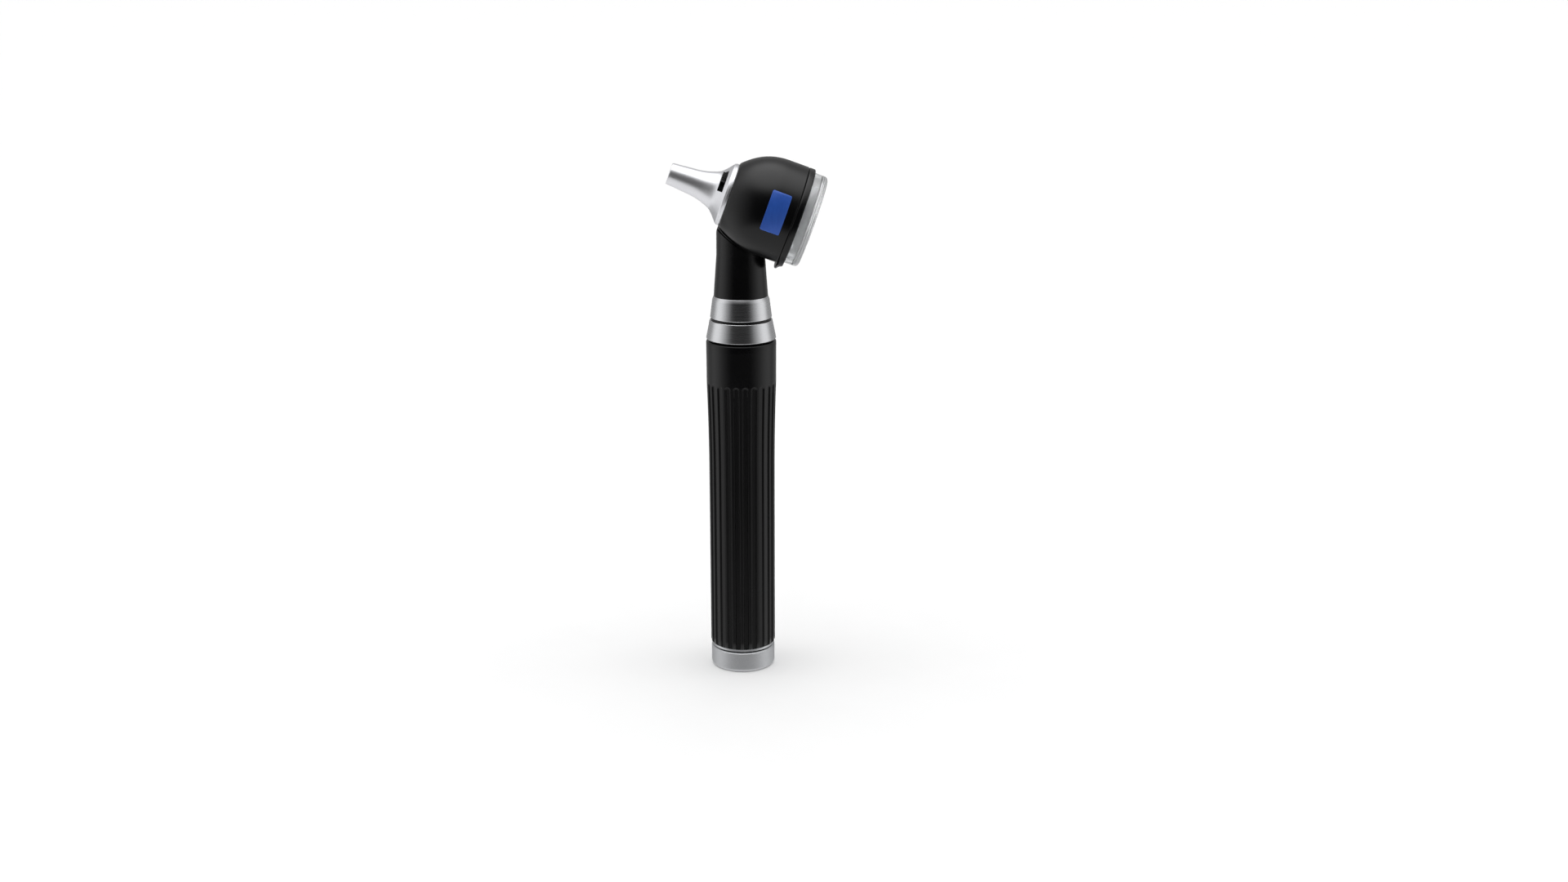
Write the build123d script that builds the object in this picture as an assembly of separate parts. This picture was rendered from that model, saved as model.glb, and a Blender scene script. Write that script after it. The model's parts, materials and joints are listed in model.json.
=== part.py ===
"""Otoscope on a two-cell battery handle, standing upright on its end cap.

Millimetres, +Z up the handle, origin at the centre of the end cap's bottom face.
The nose points towards -X and is tilted up; the viewing lens faces +X.
Pieces of the head are drawn in the sight frame, whose Z is the sight line towards the eye,
whose X points up and whose Y points to the object's -Y side, and are then seated in the head.
"""
from build123d import *
from math import asin, cos, degrees, radians, sin, sqrt
import os

# ---------------------------------------------------------------- driving dimensions
# clearances
RUN = 0.05            # radial clearance of a piece that turns or slides in another
FACE_GAP = 0.05       # gap between flat faces that pass each other
SLIP = 0.05           # radial clearance of a piece that is put in and stays

# batteries and battery tube
CELL_R, CELL_LENGTH = 7.25, 50.5
CELL_NUB_R, CELL_NUB_HEIGHT = 2.75, 1.0
CELL_SHOULDER, CELL_ROOM = 0.6, 0.3
TUBE_WALL = 1.2
TUBE_FLANGE_THICK, TUBE_FLANGE_STEP = 0.7, 0.25

# end cap and its spring
CAP_HEIGHT, CAP_FLOOR, CAP_STEP, CAP_WELL_ROOM = 6.9, 2.0, 0.15, 0.2
CAP_FOOT_ROUND, CAP_LIP_CHAMFER = 1.2, 0.4
CAP_SPIGOT_LENGTH, CAP_SPIGOT_WALL = 5.1, 0.6
SEAL_THICK, SEAL_INSET = 0.6, 0.7
THREAD_DEPTH = 5.0
SPRING_LENGTH, SPRING_WIRE_R, SPRING_TURNS = 6.7, 0.4, 3.25
SPRING_SEAT_THICK = 0.5

# grip barrel
GRIP_WALL, GRIP_BAND_SWELL, GRIP_TOP_SWELL = 2.15, 0.55, 0.6
GRIP_FLARE_HEIGHT, GRIP_BAND_HEIGHT = 31.7, 13.8
FLUTES, FLUTE_WIDTH, FLUTE_DEPTH = 24, 1.5, 0.5
GRIP_EDGE = 0.4

# hub, dimmer and its ring
HUB_SKIRT_WALL, HUB_SKIRT_DEPTH, HUB_RISE, HUB_REVEAL = 0.85, 3.0, 2.0, 0.25
HUB_NECK_R, HUB_CAVITY_R, HUB_CAVITY_HEIGHT = 7.5, 6.2, 7.2
BOSS_R, BOSS_HEIGHT = 6.2, 5.4
LUG_R, LUG_THICK, LUG_HALF_ANGLE, LUG_RISE = 7.2, 1.5, 14.0, 2.2
SET_SCREWS, SET_SCREW_R = 3, 0.8
DIMMER_HEIGHT, DIMMER_LIFT, DIMMER_TAPER, DIMMER_BEVEL, RING_EDGE = 6.63, 0.1, 1.2, 0.6, 0.2
DIMMER_TURN, DIMMER_START = 110.0, 35.0
DRIVE_PIN_R, DRIVE_PIN_RISE, DRIVE_PIN_SINK = 0.6, 2.9, 1.6
ROTOR_HEIGHT, ROTOR_LIFT, ROTOR_INNER_R = 3.2, 0.3, 3.2
WIPER_R, WIPER_WIDTH, WIPER_LENGTH = 4.7, 2.0, 1.6
RETAINER_STEP, RETAINER_THICK, RETAINER_LIFT = 0.4, 0.65, 0.1
PLATE_R, PLATE_THICK, RIVET_R, RIVET_LENGTH = 4.5, 0.5, 0.9, 1.3
HOLDER_FLANGE, HOLDER_PLUG = 0.8, 0.9
RESISTOR_THICK = 2.5

# spring contact pin
INSULATOR_R, INSULATOR_SINK = 3.15, 0.4
PIN_R, PIN_FLANGE_R, PIN_FLANGE_THICK, PIN_RISE = 1.25, 2.1, 0.9, 1.2
PIN_BORE_R, PIN_WELL_R, PIN_NECK = 1.3, 2.3, 4.2
TERMINAL_FLANGE_R, TERMINAL_FLANGE, TERMINAL_HEIGHT = 3.1, 0.6, 1.0
PIN_SPRING_R, PIN_SPRING_WIRE_R, PIN_SPRING_PITCH = 1.7, 0.15, 1.1

# collar, neck and lamp
COLLAR_STEP, COLLAR_TAPER, COLLAR_TOP_STEP = 0.15, 0.75, 0.5
COLLAR_SHOULDER, COLLAR_CHAMFER = 5.92, 1.2
COLLAR_SPIGOT_R, COLLAR_SPIGOT_LENGTH = 6.0, 5.6
COLLAR_SCREW_R, COLLAR_SCREW_HEAD_R, COLLAR_SCREW_HEAD = 0.75, 1.15, 1.3
COLLAR_SCREW_PCR, COLLAR_SCREW_LENGTH, COLLAR_SCREW_ANGLE = 7.5, 11.0, 75.0
HEAD_TWIST = 30.0
LAMP_BORE_R, LAMP_SLEEVE_WALL, LAMP_SLEEVE_LENGTH = 4.8, 1.45, 13.4
LAMP_BASE_LENGTH, LAMP_BASE_FLOOR, LAMP_BASE_BORE_R = 9.4, 2.0, 1.6
LAMP_CONTACT_R, LAMP_HEAD_R, LAMP_HEAD, LAMP_INSULATOR = 1.0, 1.5, 0.8, 0.7
BULB_R, BULB_LENGTH = 2.7, 6.4
NECK_WAIST_R, NECK_TOP_R, NECK_WAIST_RISE = 7.9, 7.8, 13.55
NECK_GROOVE, NECK_GROOVE_DEPTH = 0.5, 0.3

# head, along the sight line from the point where it crosses the handle's axis
SIGHT_RISE, SIGHT_TILT = 31.35, 20.0
HEAD_FRONT, HEAD_DOME, HEAD_REAR = -3.85, 11.0, 17.55
HEAD_FRONT_R, HEAD_R, HEAD_CHIN = 10.7, 17.1, 14.2
HEAD_WALL, HEAD_FRONT_WALL = 1.6, 1.8
HEAD_SPIGOT_WALL, HEAD_SPIGOT_DEPTH, HEAD_BORE_TOP = 1.05, 21.8, 8.0
SEAL_GROOVE_INSET, SEAL_WIDTH, REAR_SEAL_THICK, REAR_SEAL_CORNER = 0.5, 0.7, 0.75, 2.0
LABEL_START, LABEL_LENGTH, LABEL_LOW, LABEL_HIGH = 8.4, 6.4, -4.5, 8.4
LABEL_THICK, LABEL_PROUD, LABEL_ROUND = 0.35, 0.1, 0.6

# nose
NOSE_TIP = -24.2
NOSE_TIP_R, NOSE_LOCK_WALL, NOSE_FOOT_WALL = 3.5, 1.2, 4.75
NOSE_STATIONS = [(0.0, 0.0), (0.38, 4.2), (0.95, 9.6), (1.8, 13.0)]    # growth in radius, way from the tip
NOSE_FOOT, NOSE_FOOT_EDGE = 19.35, 0.25
NOSE_BORE_R, NOSE_FLANGE_R, NOSE_TIP_ROUND = 2.95, 10.3, 0.3
SLOT_LOW_ANGLE, SLOT_HIGH_ANGLE, SLOT_WIDTH, SLOT_FROM_TIP = 8.0, 66.0, 1.7, 17.0
LOCK_R, LOCK_WALL, LOCK_LENGTH = 5.4, 0.55, 2.2
KNOB_ARC, KNOB_END_GAP, KNOB_SIDE_GAP, KNOB_HEIGHT = 32.0, 1.0, 0.1, 2.3
KNOB_RIDGES, KNOB_RIDGE_DEPTH = 6, 0.25
BUSH_FLANGE_THICK = 0.7
NOSE_SCREWS, NOSE_SCREW_PCR, NOSE_SCREW_R = 3, 6.6, 0.7
NOSE_SCREW_HEAD_R, NOSE_SCREW_HEAD, NOSE_SCREW_BITE = 1.1, 0.9, 1.0
SIGHT_TUBE_R, SIGHT_TUBE_WALL, SIGHT_BELL_R, SIGHT_BELL = 2.35, 0.25, 3.4, 0.8
FERRULE_R, FERRULE_REAR, FIBRE_RECESS = 4.6, 1.5, 0.1
BUNDLE_R, BUNDLE_GAP = 1.3, 0.5
BUNDLE_RISE, BUNDLE_STRAIGHT, BUNDLE_BEND_R = 2.4, 3.6, 2.2

# swinging lens
FRAME_THICK, FRAME_EDGE, LIP_THICK, LIP_HEIGHT = 2.15, 0.35, 0.7, 2.3
LENS_INSET, LENS_CHIN_INSET, LENS_CORNER = 1.05, 0.5, 3.0
LENS_RING_THICK, LENS_PLATE_THICK, LENS_EDGE_ROUND = 2.5, 2.1, 1.2
LENS_BULGE = 2.0
PIVOT_R, PIVOT_BOSS_SINK, PIVOT_WALL = 0.9, 0.2, 0.4
PIVOT_BOSS_R, PIVOT_BOSS_LENGTH = 2.4, 7.25
CLIP_R, CLIP_THICK, CLIP_GROOVE, WASHER_THICK, PIN_TAIL, PIVOT_SEAT = 2.0, 0.4, 0.2, 0.2, 0.5, 0.2

# ---------------------------------------------------------------- heights and fits worked out from them
TUBE_BORE_R = CELL_R + CELL_ROOM
TUBE_R = TUBE_BORE_R + TUBE_WALL
GRIP_R = TUBE_R + SLIP + GRIP_WALL
GRIP_BAND_R = GRIP_R + GRIP_BAND_SWELL
GRIP_TOP_R = GRIP_R + GRIP_TOP_SWELL
CAP_R = GRIP_R - CAP_STEP
TUBE_FLANGE_R = GRIP_R - TUBE_FLANGE_STEP
DIMMER_LOW_R = GRIP_BAND_R
DIMMER_TOP_R = DIMMER_LOW_R - DIMMER_TAPER
RETAINER_R = DIMMER_TOP_R - RETAINER_STEP
COLLAR_LOW_R = DIMMER_TOP_R - COLLAR_STEP
COLLAR_SHOULDER_R = COLLAR_LOW_R - COLLAR_TAPER
COLLAR_TOP_R = COLLAR_SHOULDER_R - COLLAR_TOP_STEP
SPRING_SEAT_R = CELL_R - CELL_ROOM
SPRING_R = SPRING_SEAT_R - 2 * SPRING_WIRE_R
TUBE_LOW = CAP_HEIGHT + SEAL_THICK
GRIP_LOW = TUBE_LOW + TUBE_FLANGE_THICK
CELL_LOW = CAP_FLOOR + SPRING_LENGTH + SPRING_SEAT_THICK
CELL_TOP = CELL_LOW + 2 * CELL_LENGTH
TUBE_TOP = CELL_TOP + PLATE_THICK + HOLDER_FLANGE
SKIRT_LOW = TUBE_TOP - HUB_SKIRT_DEPTH
HUB_SKIRT_R = TUBE_R + HUB_SKIRT_WALL
GRIP_TOP = TUBE_TOP + HUB_RISE
HUB_SEAT = GRIP_TOP + HUB_REVEAL
CAVITY_TOP = TUBE_TOP + HUB_CAVITY_HEIGHT
DIMMER_LOW = HUB_SEAT + DIMMER_LIFT
DIMMER_TOP = DIMMER_LOW + DIMMER_HEIGHT
RETAINER_LOW = DIMMER_TOP + RETAINER_LIFT
NECK_END = RETAINER_LOW + RETAINER_THICK
BOSS_TOP = NECK_END + BOSS_HEIGHT
RESISTOR_LOW = TUBE_TOP + HOLDER_PLUG
RESISTOR_TOP = RESISTOR_LOW + RESISTOR_THICK
ROTOR_LOW = RESISTOR_TOP + ROTOR_LIFT
DRIVE_PIN_HEIGHT = HUB_SEAT + DRIVE_PIN_RISE
INSULATOR_LOW = RESISTOR_LOW + TERMINAL_FLANGE
INSULATOR_TOP = BOSS_TOP - INSULATOR_SINK
PIN_SHOULDER = INSULATOR_TOP - PIN_NECK
PIN_TIP = INSULATOR_TOP + PIN_RISE
PIN_FLANGE_LOW = PIN_SHOULDER - FACE_GAP - PIN_FLANGE_THICK
TERMINAL_TOP = INSULATOR_LOW + TERMINAL_HEIGHT
COLLAR_LOW = NECK_END + FACE_GAP
COLLAR_SHOULDER_HEIGHT = COLLAR_LOW + COLLAR_SHOULDER
COLLAR_TOP = COLLAR_SHOULDER_HEIGHT + COLLAR_CHAMFER
LUG_LOW = NECK_END + LUG_RISE
COLLAR_WEB = BOSS_TOP + 0.3
LAMP_LOW = PIN_TIP
SLEEVE_LOW = LAMP_LOW + 0.2
LAMP_BASE_R = LAMP_BORE_R - LAMP_SLEEVE_WALL - SLIP
LAMP_INSULATOR_LOW = LAMP_LOW + 0.5
LAMP_BASE_LOW = LAMP_INSULATOR_LOW + LAMP_INSULATOR
BULB_LOW = LAMP_BASE_LOW + LAMP_BASE_LENGTH
BULB_TOP = BULB_LOW + BULB_LENGTH
NECK_LOW = COLLAR_TOP + FACE_GAP
NECK_BORE_R = COLLAR_SPIGOT_R + SLIP
HEAD_SPIGOT_R = COLLAR_SPIGOT_R
SIGHT_HEIGHT = NECK_LOW + SIGHT_RISE

NOSE_REAR = NOSE_TIP + NOSE_FOOT
SLOT_PLACE = NOSE_TIP + SLOT_FROM_TIP
LOCK_FRONT = SLOT_PLACE - LOCK_LENGTH / 2
LOCK_REAR = SLOT_PLACE + LOCK_LENGTH / 2
LOCK_ROOM_R = LOCK_R + RUN
LOCK_ROOM_FRONT = LOCK_FRONT - FACE_GAP
LOCK_INNER_R = LOCK_R - LOCK_WALL
KNOB_R = LOCK_R + KNOB_HEIGHT
BUSH_R = LOCK_INNER_R - RUN
BUSH_BORE_R = NOSE_BORE_R + 0.02
FERRULE_FRONT = NOSE_REAR
CAVITY_FRONT = HEAD_FRONT + HEAD_FRONT_WALL
FRAME_FRONT = HEAD_REAR + FACE_GAP
FRAME_REAR = FRAME_FRONT + FRAME_THICK
LENS_PLATE_FRONT = FRAME_REAR + LENS_RING_THICK
LENS_REAR = LENS_PLATE_FRONT + LENS_PLATE_THICK
PIVOT_BORE_R = PIVOT_R + RUN
PIVOT_RISE = HEAD_R - HEAD_WALL - PIVOT_BOSS_R + PIVOT_BOSS_SINK
FRAME_OPENING_R = PIVOT_RISE - PIVOT_R - PIVOT_WALL
LENS_R = HEAD_R - LENS_INSET
LENS_CHIN = HEAD_CHIN - LENS_CHIN_INSET
LENS_BORE_R = FRAME_OPENING_R
PIVOT_BOSS_FRONT = HEAD_REAR - PIVOT_BOSS_LENGTH
CLIP_REAR = PIVOT_BOSS_FRONT - WASHER_THICK
CLIP_FRONT = CLIP_REAR - CLIP_THICK

TILT = radians(SIGHT_TILT)
EYE_WAY, UP_WAY = (cos(TILT), 0, -sin(TILT)), (sin(TILT), 0, cos(TILT))
SIGHT = Plane(origin=(0, 0, SIGHT_HEIGHT), x_dir=UP_WAY, z_dir=EYE_WAY)
TO_AXIS = (Align.CENTER, Align.CENTER, Align.MIN)
BIG = 60.0            # longer than any piece that it cuts across


# ---------------------------------------------------------------- shapes used by many pieces
def disc(radius, low, high):
    """A plain round disc or rod on the Z axis."""
    return Pos(0, 0, low) * Cylinder(radius, high - low, align=TO_AXIS)


def ring(outer, inner, low, high):
    """A plain round tube on the Z axis."""
    return disc(outer, low, high) - disc(inner, low - 1, high + 1)


def turned(*points):
    """A turned piece from its half outline, as (radius, height) points in order."""
    outline = Polyline(*[(radius, 0, height) for radius, height in points], close=True)
    return revolve(make_face(outline), Axis.Z)


def sector(outer, inner, low, high, start, end):
    """Part of a tube on the Z axis, between two angles."""
    corners = [(inner, 0, low), (outer, 0, low), (outer, 0, high), (inner, 0, high)]
    return Rot(0, 0, start) * revolve(make_face(Polyline(*corners, close=True)), Axis.Z, end - start)


def radial_rod(radius, inner, outer, height, angle):
    """A rod that points away from the Z axis."""
    rod = Pos(inner, 0, height) * Rot(0, 90, 0) * Cylinder(radius, outer - inner, align=TO_AXIS)
    return Rot(0, 0, angle) * rod


def around(shape, count, start=0.0):
    """Equal copies of a shape, spread round the Z axis."""
    return [Rot(0, 0, start + 360.0 * k / count) * shape for k in range(count)]


def coil(radius, wire_r, low, high, turns):
    """A round wire wound into an open coil that fills the height from low to high."""
    rise = high - low - 2 * wire_r
    path = Pos(0, 0, low + wire_r) * Helix(pitch=rise / turns, height=rise, radius=radius)
    wire = Plane(origin=path @ 0, z_dir=path % 0) * Circle(wire_r)
    return sweep(wire, path=path, is_frenet=True)


def chinned(radius, chin, low, high, corner):
    """A disc on the sight line whose underside is flattened, with rounded corners."""
    half = sqrt(radius ** 2 - chin ** 2)
    outline = Circle(radius) - Pos(-chin - radius, 0) * Rectangle(2 * radius, 4 * radius)
    corners = [v for v in outline.vertices() if abs(abs(v.Y) - half) < 0.01]
    return Pos(0, 0, low) * extrude(fillet(corners, corner), high - low)


def seated(shape):
    """A shape of the sight frame, put into the head."""
    return SIGHT.location * shape


# ---------------------------------------------------------------- end cap and batteries
def end_cap():
    """Turned aluminium cap: foot to stand on, threaded spigot (drawn plain) and spring well."""
    body = disc(CAP_R, 0, CAP_HEIGHT)
    body = fillet(body.edges().sort_by(Axis.Z)[0], CAP_FOOT_ROUND)
    body = chamfer(body.edges().sort_by(Axis.Z)[-1], CAP_LIP_CHAMFER)
    spigot_r = TUBE_BORE_R + CAP_SPIGOT_WALL - RUN
    spigot_top = CAP_HEIGHT + CAP_SPIGOT_LENGTH
    well = disc(CELL_R + CAP_WELL_ROOM, CAP_FLOOR, spigot_top + 1)
    return body + disc(spigot_r, CAP_HEIGHT, spigot_top) - well


def cap_seal():
    """Flat rubber ring between the cap and the tube's flange."""
    return ring(CAP_R - SEAL_INSET, TUBE_BORE_R + CAP_SPIGOT_WALL + 0.1, CAP_HEIGHT, TUBE_LOW)


def battery_spring():
    return coil(SPRING_R, SPRING_WIRE_R, CAP_FLOOR, CAP_FLOOR + SPRING_LENGTH, SPRING_TURNS)


def spring_seat():
    """Plated dish between the spring and the lower cell."""
    return disc(SPRING_SEAT_R, CELL_LOW - SPRING_SEAT_THICK, CELL_LOW)


def cell(low):
    """One AA cell, positive end up."""
    can = disc(CELL_R, low, low + CELL_LENGTH - CELL_NUB_HEIGHT)
    can = fillet(can.edges().sort_by(Axis.Z)[-1], CELL_SHOULDER)
    return can + disc(CELL_NUB_R, low + CELL_LENGTH - CELL_NUB_HEIGHT, low + CELL_LENGTH)


def battery_tube():
    """Metal tube that carries the cells; its foot flange shows below the grip."""
    body = disc(TUBE_R, TUBE_LOW, TUBE_TOP) + disc(TUBE_FLANGE_R, TUBE_LOW, GRIP_LOW)
    body = body - disc(TUBE_BORE_R, TUBE_LOW - 1, TUBE_TOP + 1)
    body = body - disc(TUBE_BORE_R + CAP_SPIGOT_WALL, TUBE_LOW - 1, TUBE_LOW + THREAD_DEPTH)
    hole = radial_rod(SET_SCREW_R, TUBE_BORE_R - 1, TUBE_R + 1, TUBE_TOP - HUB_SKIRT_DEPTH / 2, 0)
    return body - around(hole, SET_SCREWS)


# ---------------------------------------------------------------- grip
def grip_form(inset):
    """Solid form of the grip, drawn in by inset: straight, gently flaring, then the smooth band."""
    band_low = GRIP_TOP - GRIP_BAND_HEIGHT
    low, middle = (GRIP_R - inset, 0, GRIP_LOW), (GRIP_R - inset, 0, band_low - GRIP_FLARE_HEIGHT)
    bend = (GRIP_R - inset, 0, band_low - GRIP_FLARE_HEIGHT / 2)
    flare = Bezier(middle, bend, (GRIP_BAND_R - inset, 0, band_low))
    edge = (GRIP_TOP_R - inset, 0, GRIP_TOP - GRIP_EDGE)
    rest = Polyline(flare @ 1, edge, (GRIP_TOP_R - GRIP_EDGE - inset, 0, GRIP_TOP), (0, 0, GRIP_TOP),
                    (0, 0, GRIP_LOW), low, middle)
    return revolve(make_face(flare.edges() + rest.edges()), Axis.Z)


def flute_cutter():
    """One flute as a round-ended slot through the grip's side, down to the flutes' floor."""
    top = GRIP_TOP - GRIP_BAND_HEIGHT - FLUTE_WIDTH / 2
    height = top - GRIP_LOW + 1
    outline = Pos(0, top - height / 2) * Rectangle(FLUTE_WIDTH, height)
    outline = outline + Pos(0, top) * Circle(FLUTE_WIDTH / 2)
    side = Plane(origin=(GRIP_R - 2 * FLUTE_DEPTH, 0, 0), x_dir=(0, 1, 0), z_dir=(1, 0, 0))
    return extrude(side * outline, 2 * FLUTE_DEPTH + GRIP_TOP_R - GRIP_R + 1) - grip_form(FLUTE_DEPTH)


def grip_barrel():
    """Moulded sleeve: smooth band at the top, flutes below it that end in round tops."""
    body = grip_form(0) - around(flute_cutter(), FLUTES, 180.0 / FLUTES)
    body = body - disc(TUBE_R + SLIP, GRIP_LOW - 1, GRIP_TOP)
    return body - disc(HUB_SKIRT_R + SLIP, SKIRT_LOW, GRIP_TOP + 1)


# ---------------------------------------------------------------- hub and dimmer
def handle_hub():
    """Turned hub: skirt over the tube, neck for the dimmer ring, bayonet boss with two lugs."""
    body = disc(HUB_SKIRT_R, SKIRT_LOW, HUB_SEAT) - disc(TUBE_R + SLIP, SKIRT_LOW - 1, TUBE_TOP)
    body = body + disc(HUB_NECK_R, HUB_SEAT, NECK_END) + disc(BOSS_R, NECK_END, BOSS_TOP)
    lug = sector(LUG_R, BOSS_R - 1, LUG_LOW, LUG_LOW + LUG_THICK, -LUG_HALF_ANGLE, LUG_HALF_ANGLE)
    body = body + around(lug, 2)
    body = body - disc(HUB_CAVITY_R, TUBE_TOP - 1, CAVITY_TOP)
    body = body - disc(INSULATOR_R, CAVITY_TOP - 1, BOSS_TOP + 1)
    side_room = degrees((DRIVE_PIN_R + 0.15) / HUB_CAVITY_R)
    start, end = DIMMER_START - side_room, DIMMER_START + DIMMER_TURN + side_room
    low, high = DRIVE_PIN_HEIGHT - DRIVE_PIN_R - RUN, DRIVE_PIN_HEIGHT + DRIVE_PIN_R + RUN
    body = body - sector(HUB_NECK_R + 1, HUB_CAVITY_R - 1, low, high, start, end)
    hole = radial_rod(SET_SCREW_R, TUBE_R - 1, HUB_SKIRT_R + 1, TUBE_TOP - HUB_SKIRT_DEPTH / 2, 0)
    return body - around(hole, SET_SCREWS)


def hub_screws():
    """Set screws through the skirt into the tube, flush with both walls."""
    height = TUBE_TOP - HUB_SKIRT_DEPTH / 2
    return around(radial_rod(SET_SCREW_R, TUBE_BORE_R + 0.1, HUB_SKIRT_R - 0.1, height, 0), SET_SCREWS)


def positive_plate():
    """Brass contact that the upper cell presses on, with its rivet."""
    plate = disc(PLATE_R, CELL_TOP, CELL_TOP + PLATE_THICK)
    return plate + disc(RIVET_R, CELL_TOP + PLATE_THICK, CELL_TOP + PLATE_THICK + RIVET_LENGTH)


def contact_holder():
    """Moulded disc that closes the tube's top and carries the brass plate."""
    low = CELL_TOP + PLATE_THICK
    body = disc(TUBE_BORE_R - SLIP, low, TUBE_TOP) + disc(HUB_CAVITY_R - SLIP, TUBE_TOP, RESISTOR_LOW)
    return body - disc(RIVET_R, low - 1, low + RIVET_LENGTH)


def resistor_disc():
    """Ceramic ring with the resistance track on its top face."""
    body = ring(HUB_CAVITY_R - SLIP, INSULATOR_R + SLIP, RESISTOR_LOW, RESISTOR_TOP)
    low, outer, inner = RESISTOR_TOP - 0.2, WIPER_R + WIPER_LENGTH / 2, WIPER_R - WIPER_LENGTH / 2
    groove = ring(outer + WIPER_LENGTH, inner - 0.2, low, RESISTOR_TOP + 1)
    return body - groove + ring(outer, inner, low, RESISTOR_TOP)


def dimmer_rotor():
    """Moulded rotor inside the hub, turned by the drive pin."""
    body = ring(HUB_CAVITY_R - RUN, ROTOR_INNER_R, ROTOR_LOW, ROTOR_LOW + ROTOR_HEIGHT)
    return body - radial_rod(DRIVE_PIN_R, HUB_CAVITY_R - DRIVE_PIN_SINK, BIG, DRIVE_PIN_HEIGHT, DIMMER_START)


def dimmer_wiper():
    """Sprung brass leaf under the rotor, on the resistance track."""
    leaf = Pos(WIPER_R, 0, RESISTOR_TOP) * Box(WIPER_LENGTH, WIPER_WIDTH, ROTOR_LIFT, align=TO_AXIS)
    return Rot(0, 0, DIMMER_START) * leaf


def dimmer_drive_pin():
    outer = HUB_NECK_R + DRIVE_PIN_SINK
    return radial_rod(DRIVE_PIN_R, HUB_CAVITY_R - DRIVE_PIN_SINK, outer, DRIVE_PIN_HEIGHT, DIMMER_START)


def dimmer_ring():
    """Tapered ring that the user turns to switch on and dim."""
    bore = HUB_NECK_R + RUN
    body = turned((bore, DIMMER_LOW), (DIMMER_LOW_R - DIMMER_BEVEL, DIMMER_LOW),
                  (DIMMER_LOW_R, DIMMER_LOW + DIMMER_BEVEL), (DIMMER_TOP_R, DIMMER_TOP - RING_EDGE),
                  (DIMMER_TOP_R - RING_EDGE, DIMMER_TOP), (bore, DIMMER_TOP))
    return body - radial_rod(DRIVE_PIN_R, 0, HUB_NECK_R + DRIVE_PIN_SINK, DRIVE_PIN_HEIGHT, DIMMER_START)


def dimmer_retainer():
    """Black ring pressed on the neck, which keeps the dimmer ring on the hub."""
    return ring(RETAINER_R, HUB_NECK_R, RETAINER_LOW, NECK_END)


# ---------------------------------------------------------------- spring contact
def pin_insulator():
    body = ring(INSULATOR_R, PIN_BORE_R, INSULATOR_LOW, INSULATOR_TOP)
    return body - disc(PIN_WELL_R, INSULATOR_LOW - 1, PIN_SHOULDER)


def pin_terminal():
    """Brass stub that closes the insulator from below and carries the spring."""
    stub = disc(PIN_WELL_R - SLIP, INSULATOR_LOW, TERMINAL_TOP)
    return disc(TERMINAL_FLANGE_R, RESISTOR_LOW, INSULATOR_LOW) + stub


def contact_spring():
    turns = (PIN_FLANGE_LOW - TERMINAL_TOP) / PIN_SPRING_PITCH
    return coil(PIN_SPRING_R, PIN_SPRING_WIRE_R, TERMINAL_TOP, PIN_FLANGE_LOW, turns)


def contact_pin():
    """Plated pin that meets the lamp; it can be pressed down into its well."""
    pin = disc(PIN_R, PIN_FLANGE_LOW, PIN_TIP)
    pin = fillet(pin.edges().sort_by(Axis.Z)[-1], 0.5)
    return pin + disc(PIN_FLANGE_R, PIN_FLANGE_LOW, PIN_FLANGE_LOW + PIN_FLANGE_THICK)


# ---------------------------------------------------------------- collar, neck and lamp
def head_collar():
    """Turned collar with the bayonet's entry slots and turning room inside."""
    spigot_top = COLLAR_TOP + COLLAR_SPIGOT_LENGTH
    body = turned((0, COLLAR_LOW), (COLLAR_LOW_R - RING_EDGE, COLLAR_LOW),
                  (COLLAR_LOW_R, COLLAR_LOW + RING_EDGE),
                  (COLLAR_SHOULDER_R, COLLAR_SHOULDER_HEIGHT), (COLLAR_TOP_R, COLLAR_TOP),
                  (COLLAR_SPIGOT_R, COLLAR_TOP), (COLLAR_SPIGOT_R, spigot_top), (0, spigot_top))
    body = body - disc(BOSS_R + RUN, COLLAR_LOW - 1, COLLAR_WEB)
    body = body - disc(LAMP_BORE_R, COLLAR_WEB - 1, spigot_top + 1)
    room = LUG_HALF_ANGLE + 1.5
    lug_r = LUG_R + 0.1
    turning = sector(lug_r, BOSS_R - 1, LUG_LOW - 0.1, COLLAR_WEB, -HEAD_TWIST - room, room)
    entry = sector(lug_r, BOSS_R - 1, COLLAR_LOW - 1, LUG_LOW, -HEAD_TWIST - room, -HEAD_TWIST + room)
    body = body - around(turning, 2) - around(entry, 2)
    return body - collar_screws()


def collar_screws():
    """Two screws up through the collar into the neck."""
    low = COLLAR_LOW + 0.2
    screw = disc(COLLAR_SCREW_R, low, low + COLLAR_SCREW_LENGTH)
    screw = Pos(COLLAR_SCREW_PCR, 0, 0) * (screw + disc(COLLAR_SCREW_HEAD_R, low, low + COLLAR_SCREW_HEAD))
    return around(screw, 2, COLLAR_SCREW_ANGLE)


def lamp_sleeve():
    """Metal sleeve that takes the lamp's heat and centres it."""
    inner = LAMP_BORE_R - LAMP_SLEEVE_WALL
    return ring(LAMP_BORE_R, inner, SLEEVE_LOW, SLEEVE_LOW + LAMP_SLEEVE_LENGTH)


def lamp_base():
    can = ring(LAMP_BASE_R, LAMP_BASE_BORE_R, LAMP_BASE_LOW, BULB_LOW)
    return can + disc(LAMP_BASE_R, BULB_LOW - LAMP_BASE_FLOOR, BULB_LOW)


def lamp_bulb():
    """Glass envelope with a round lens end."""
    return disc(BULB_R, BULB_LOW, BULB_TOP - BULB_R) + Pos(0, 0, BULB_TOP - BULB_R) * Sphere(BULB_R)


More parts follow.
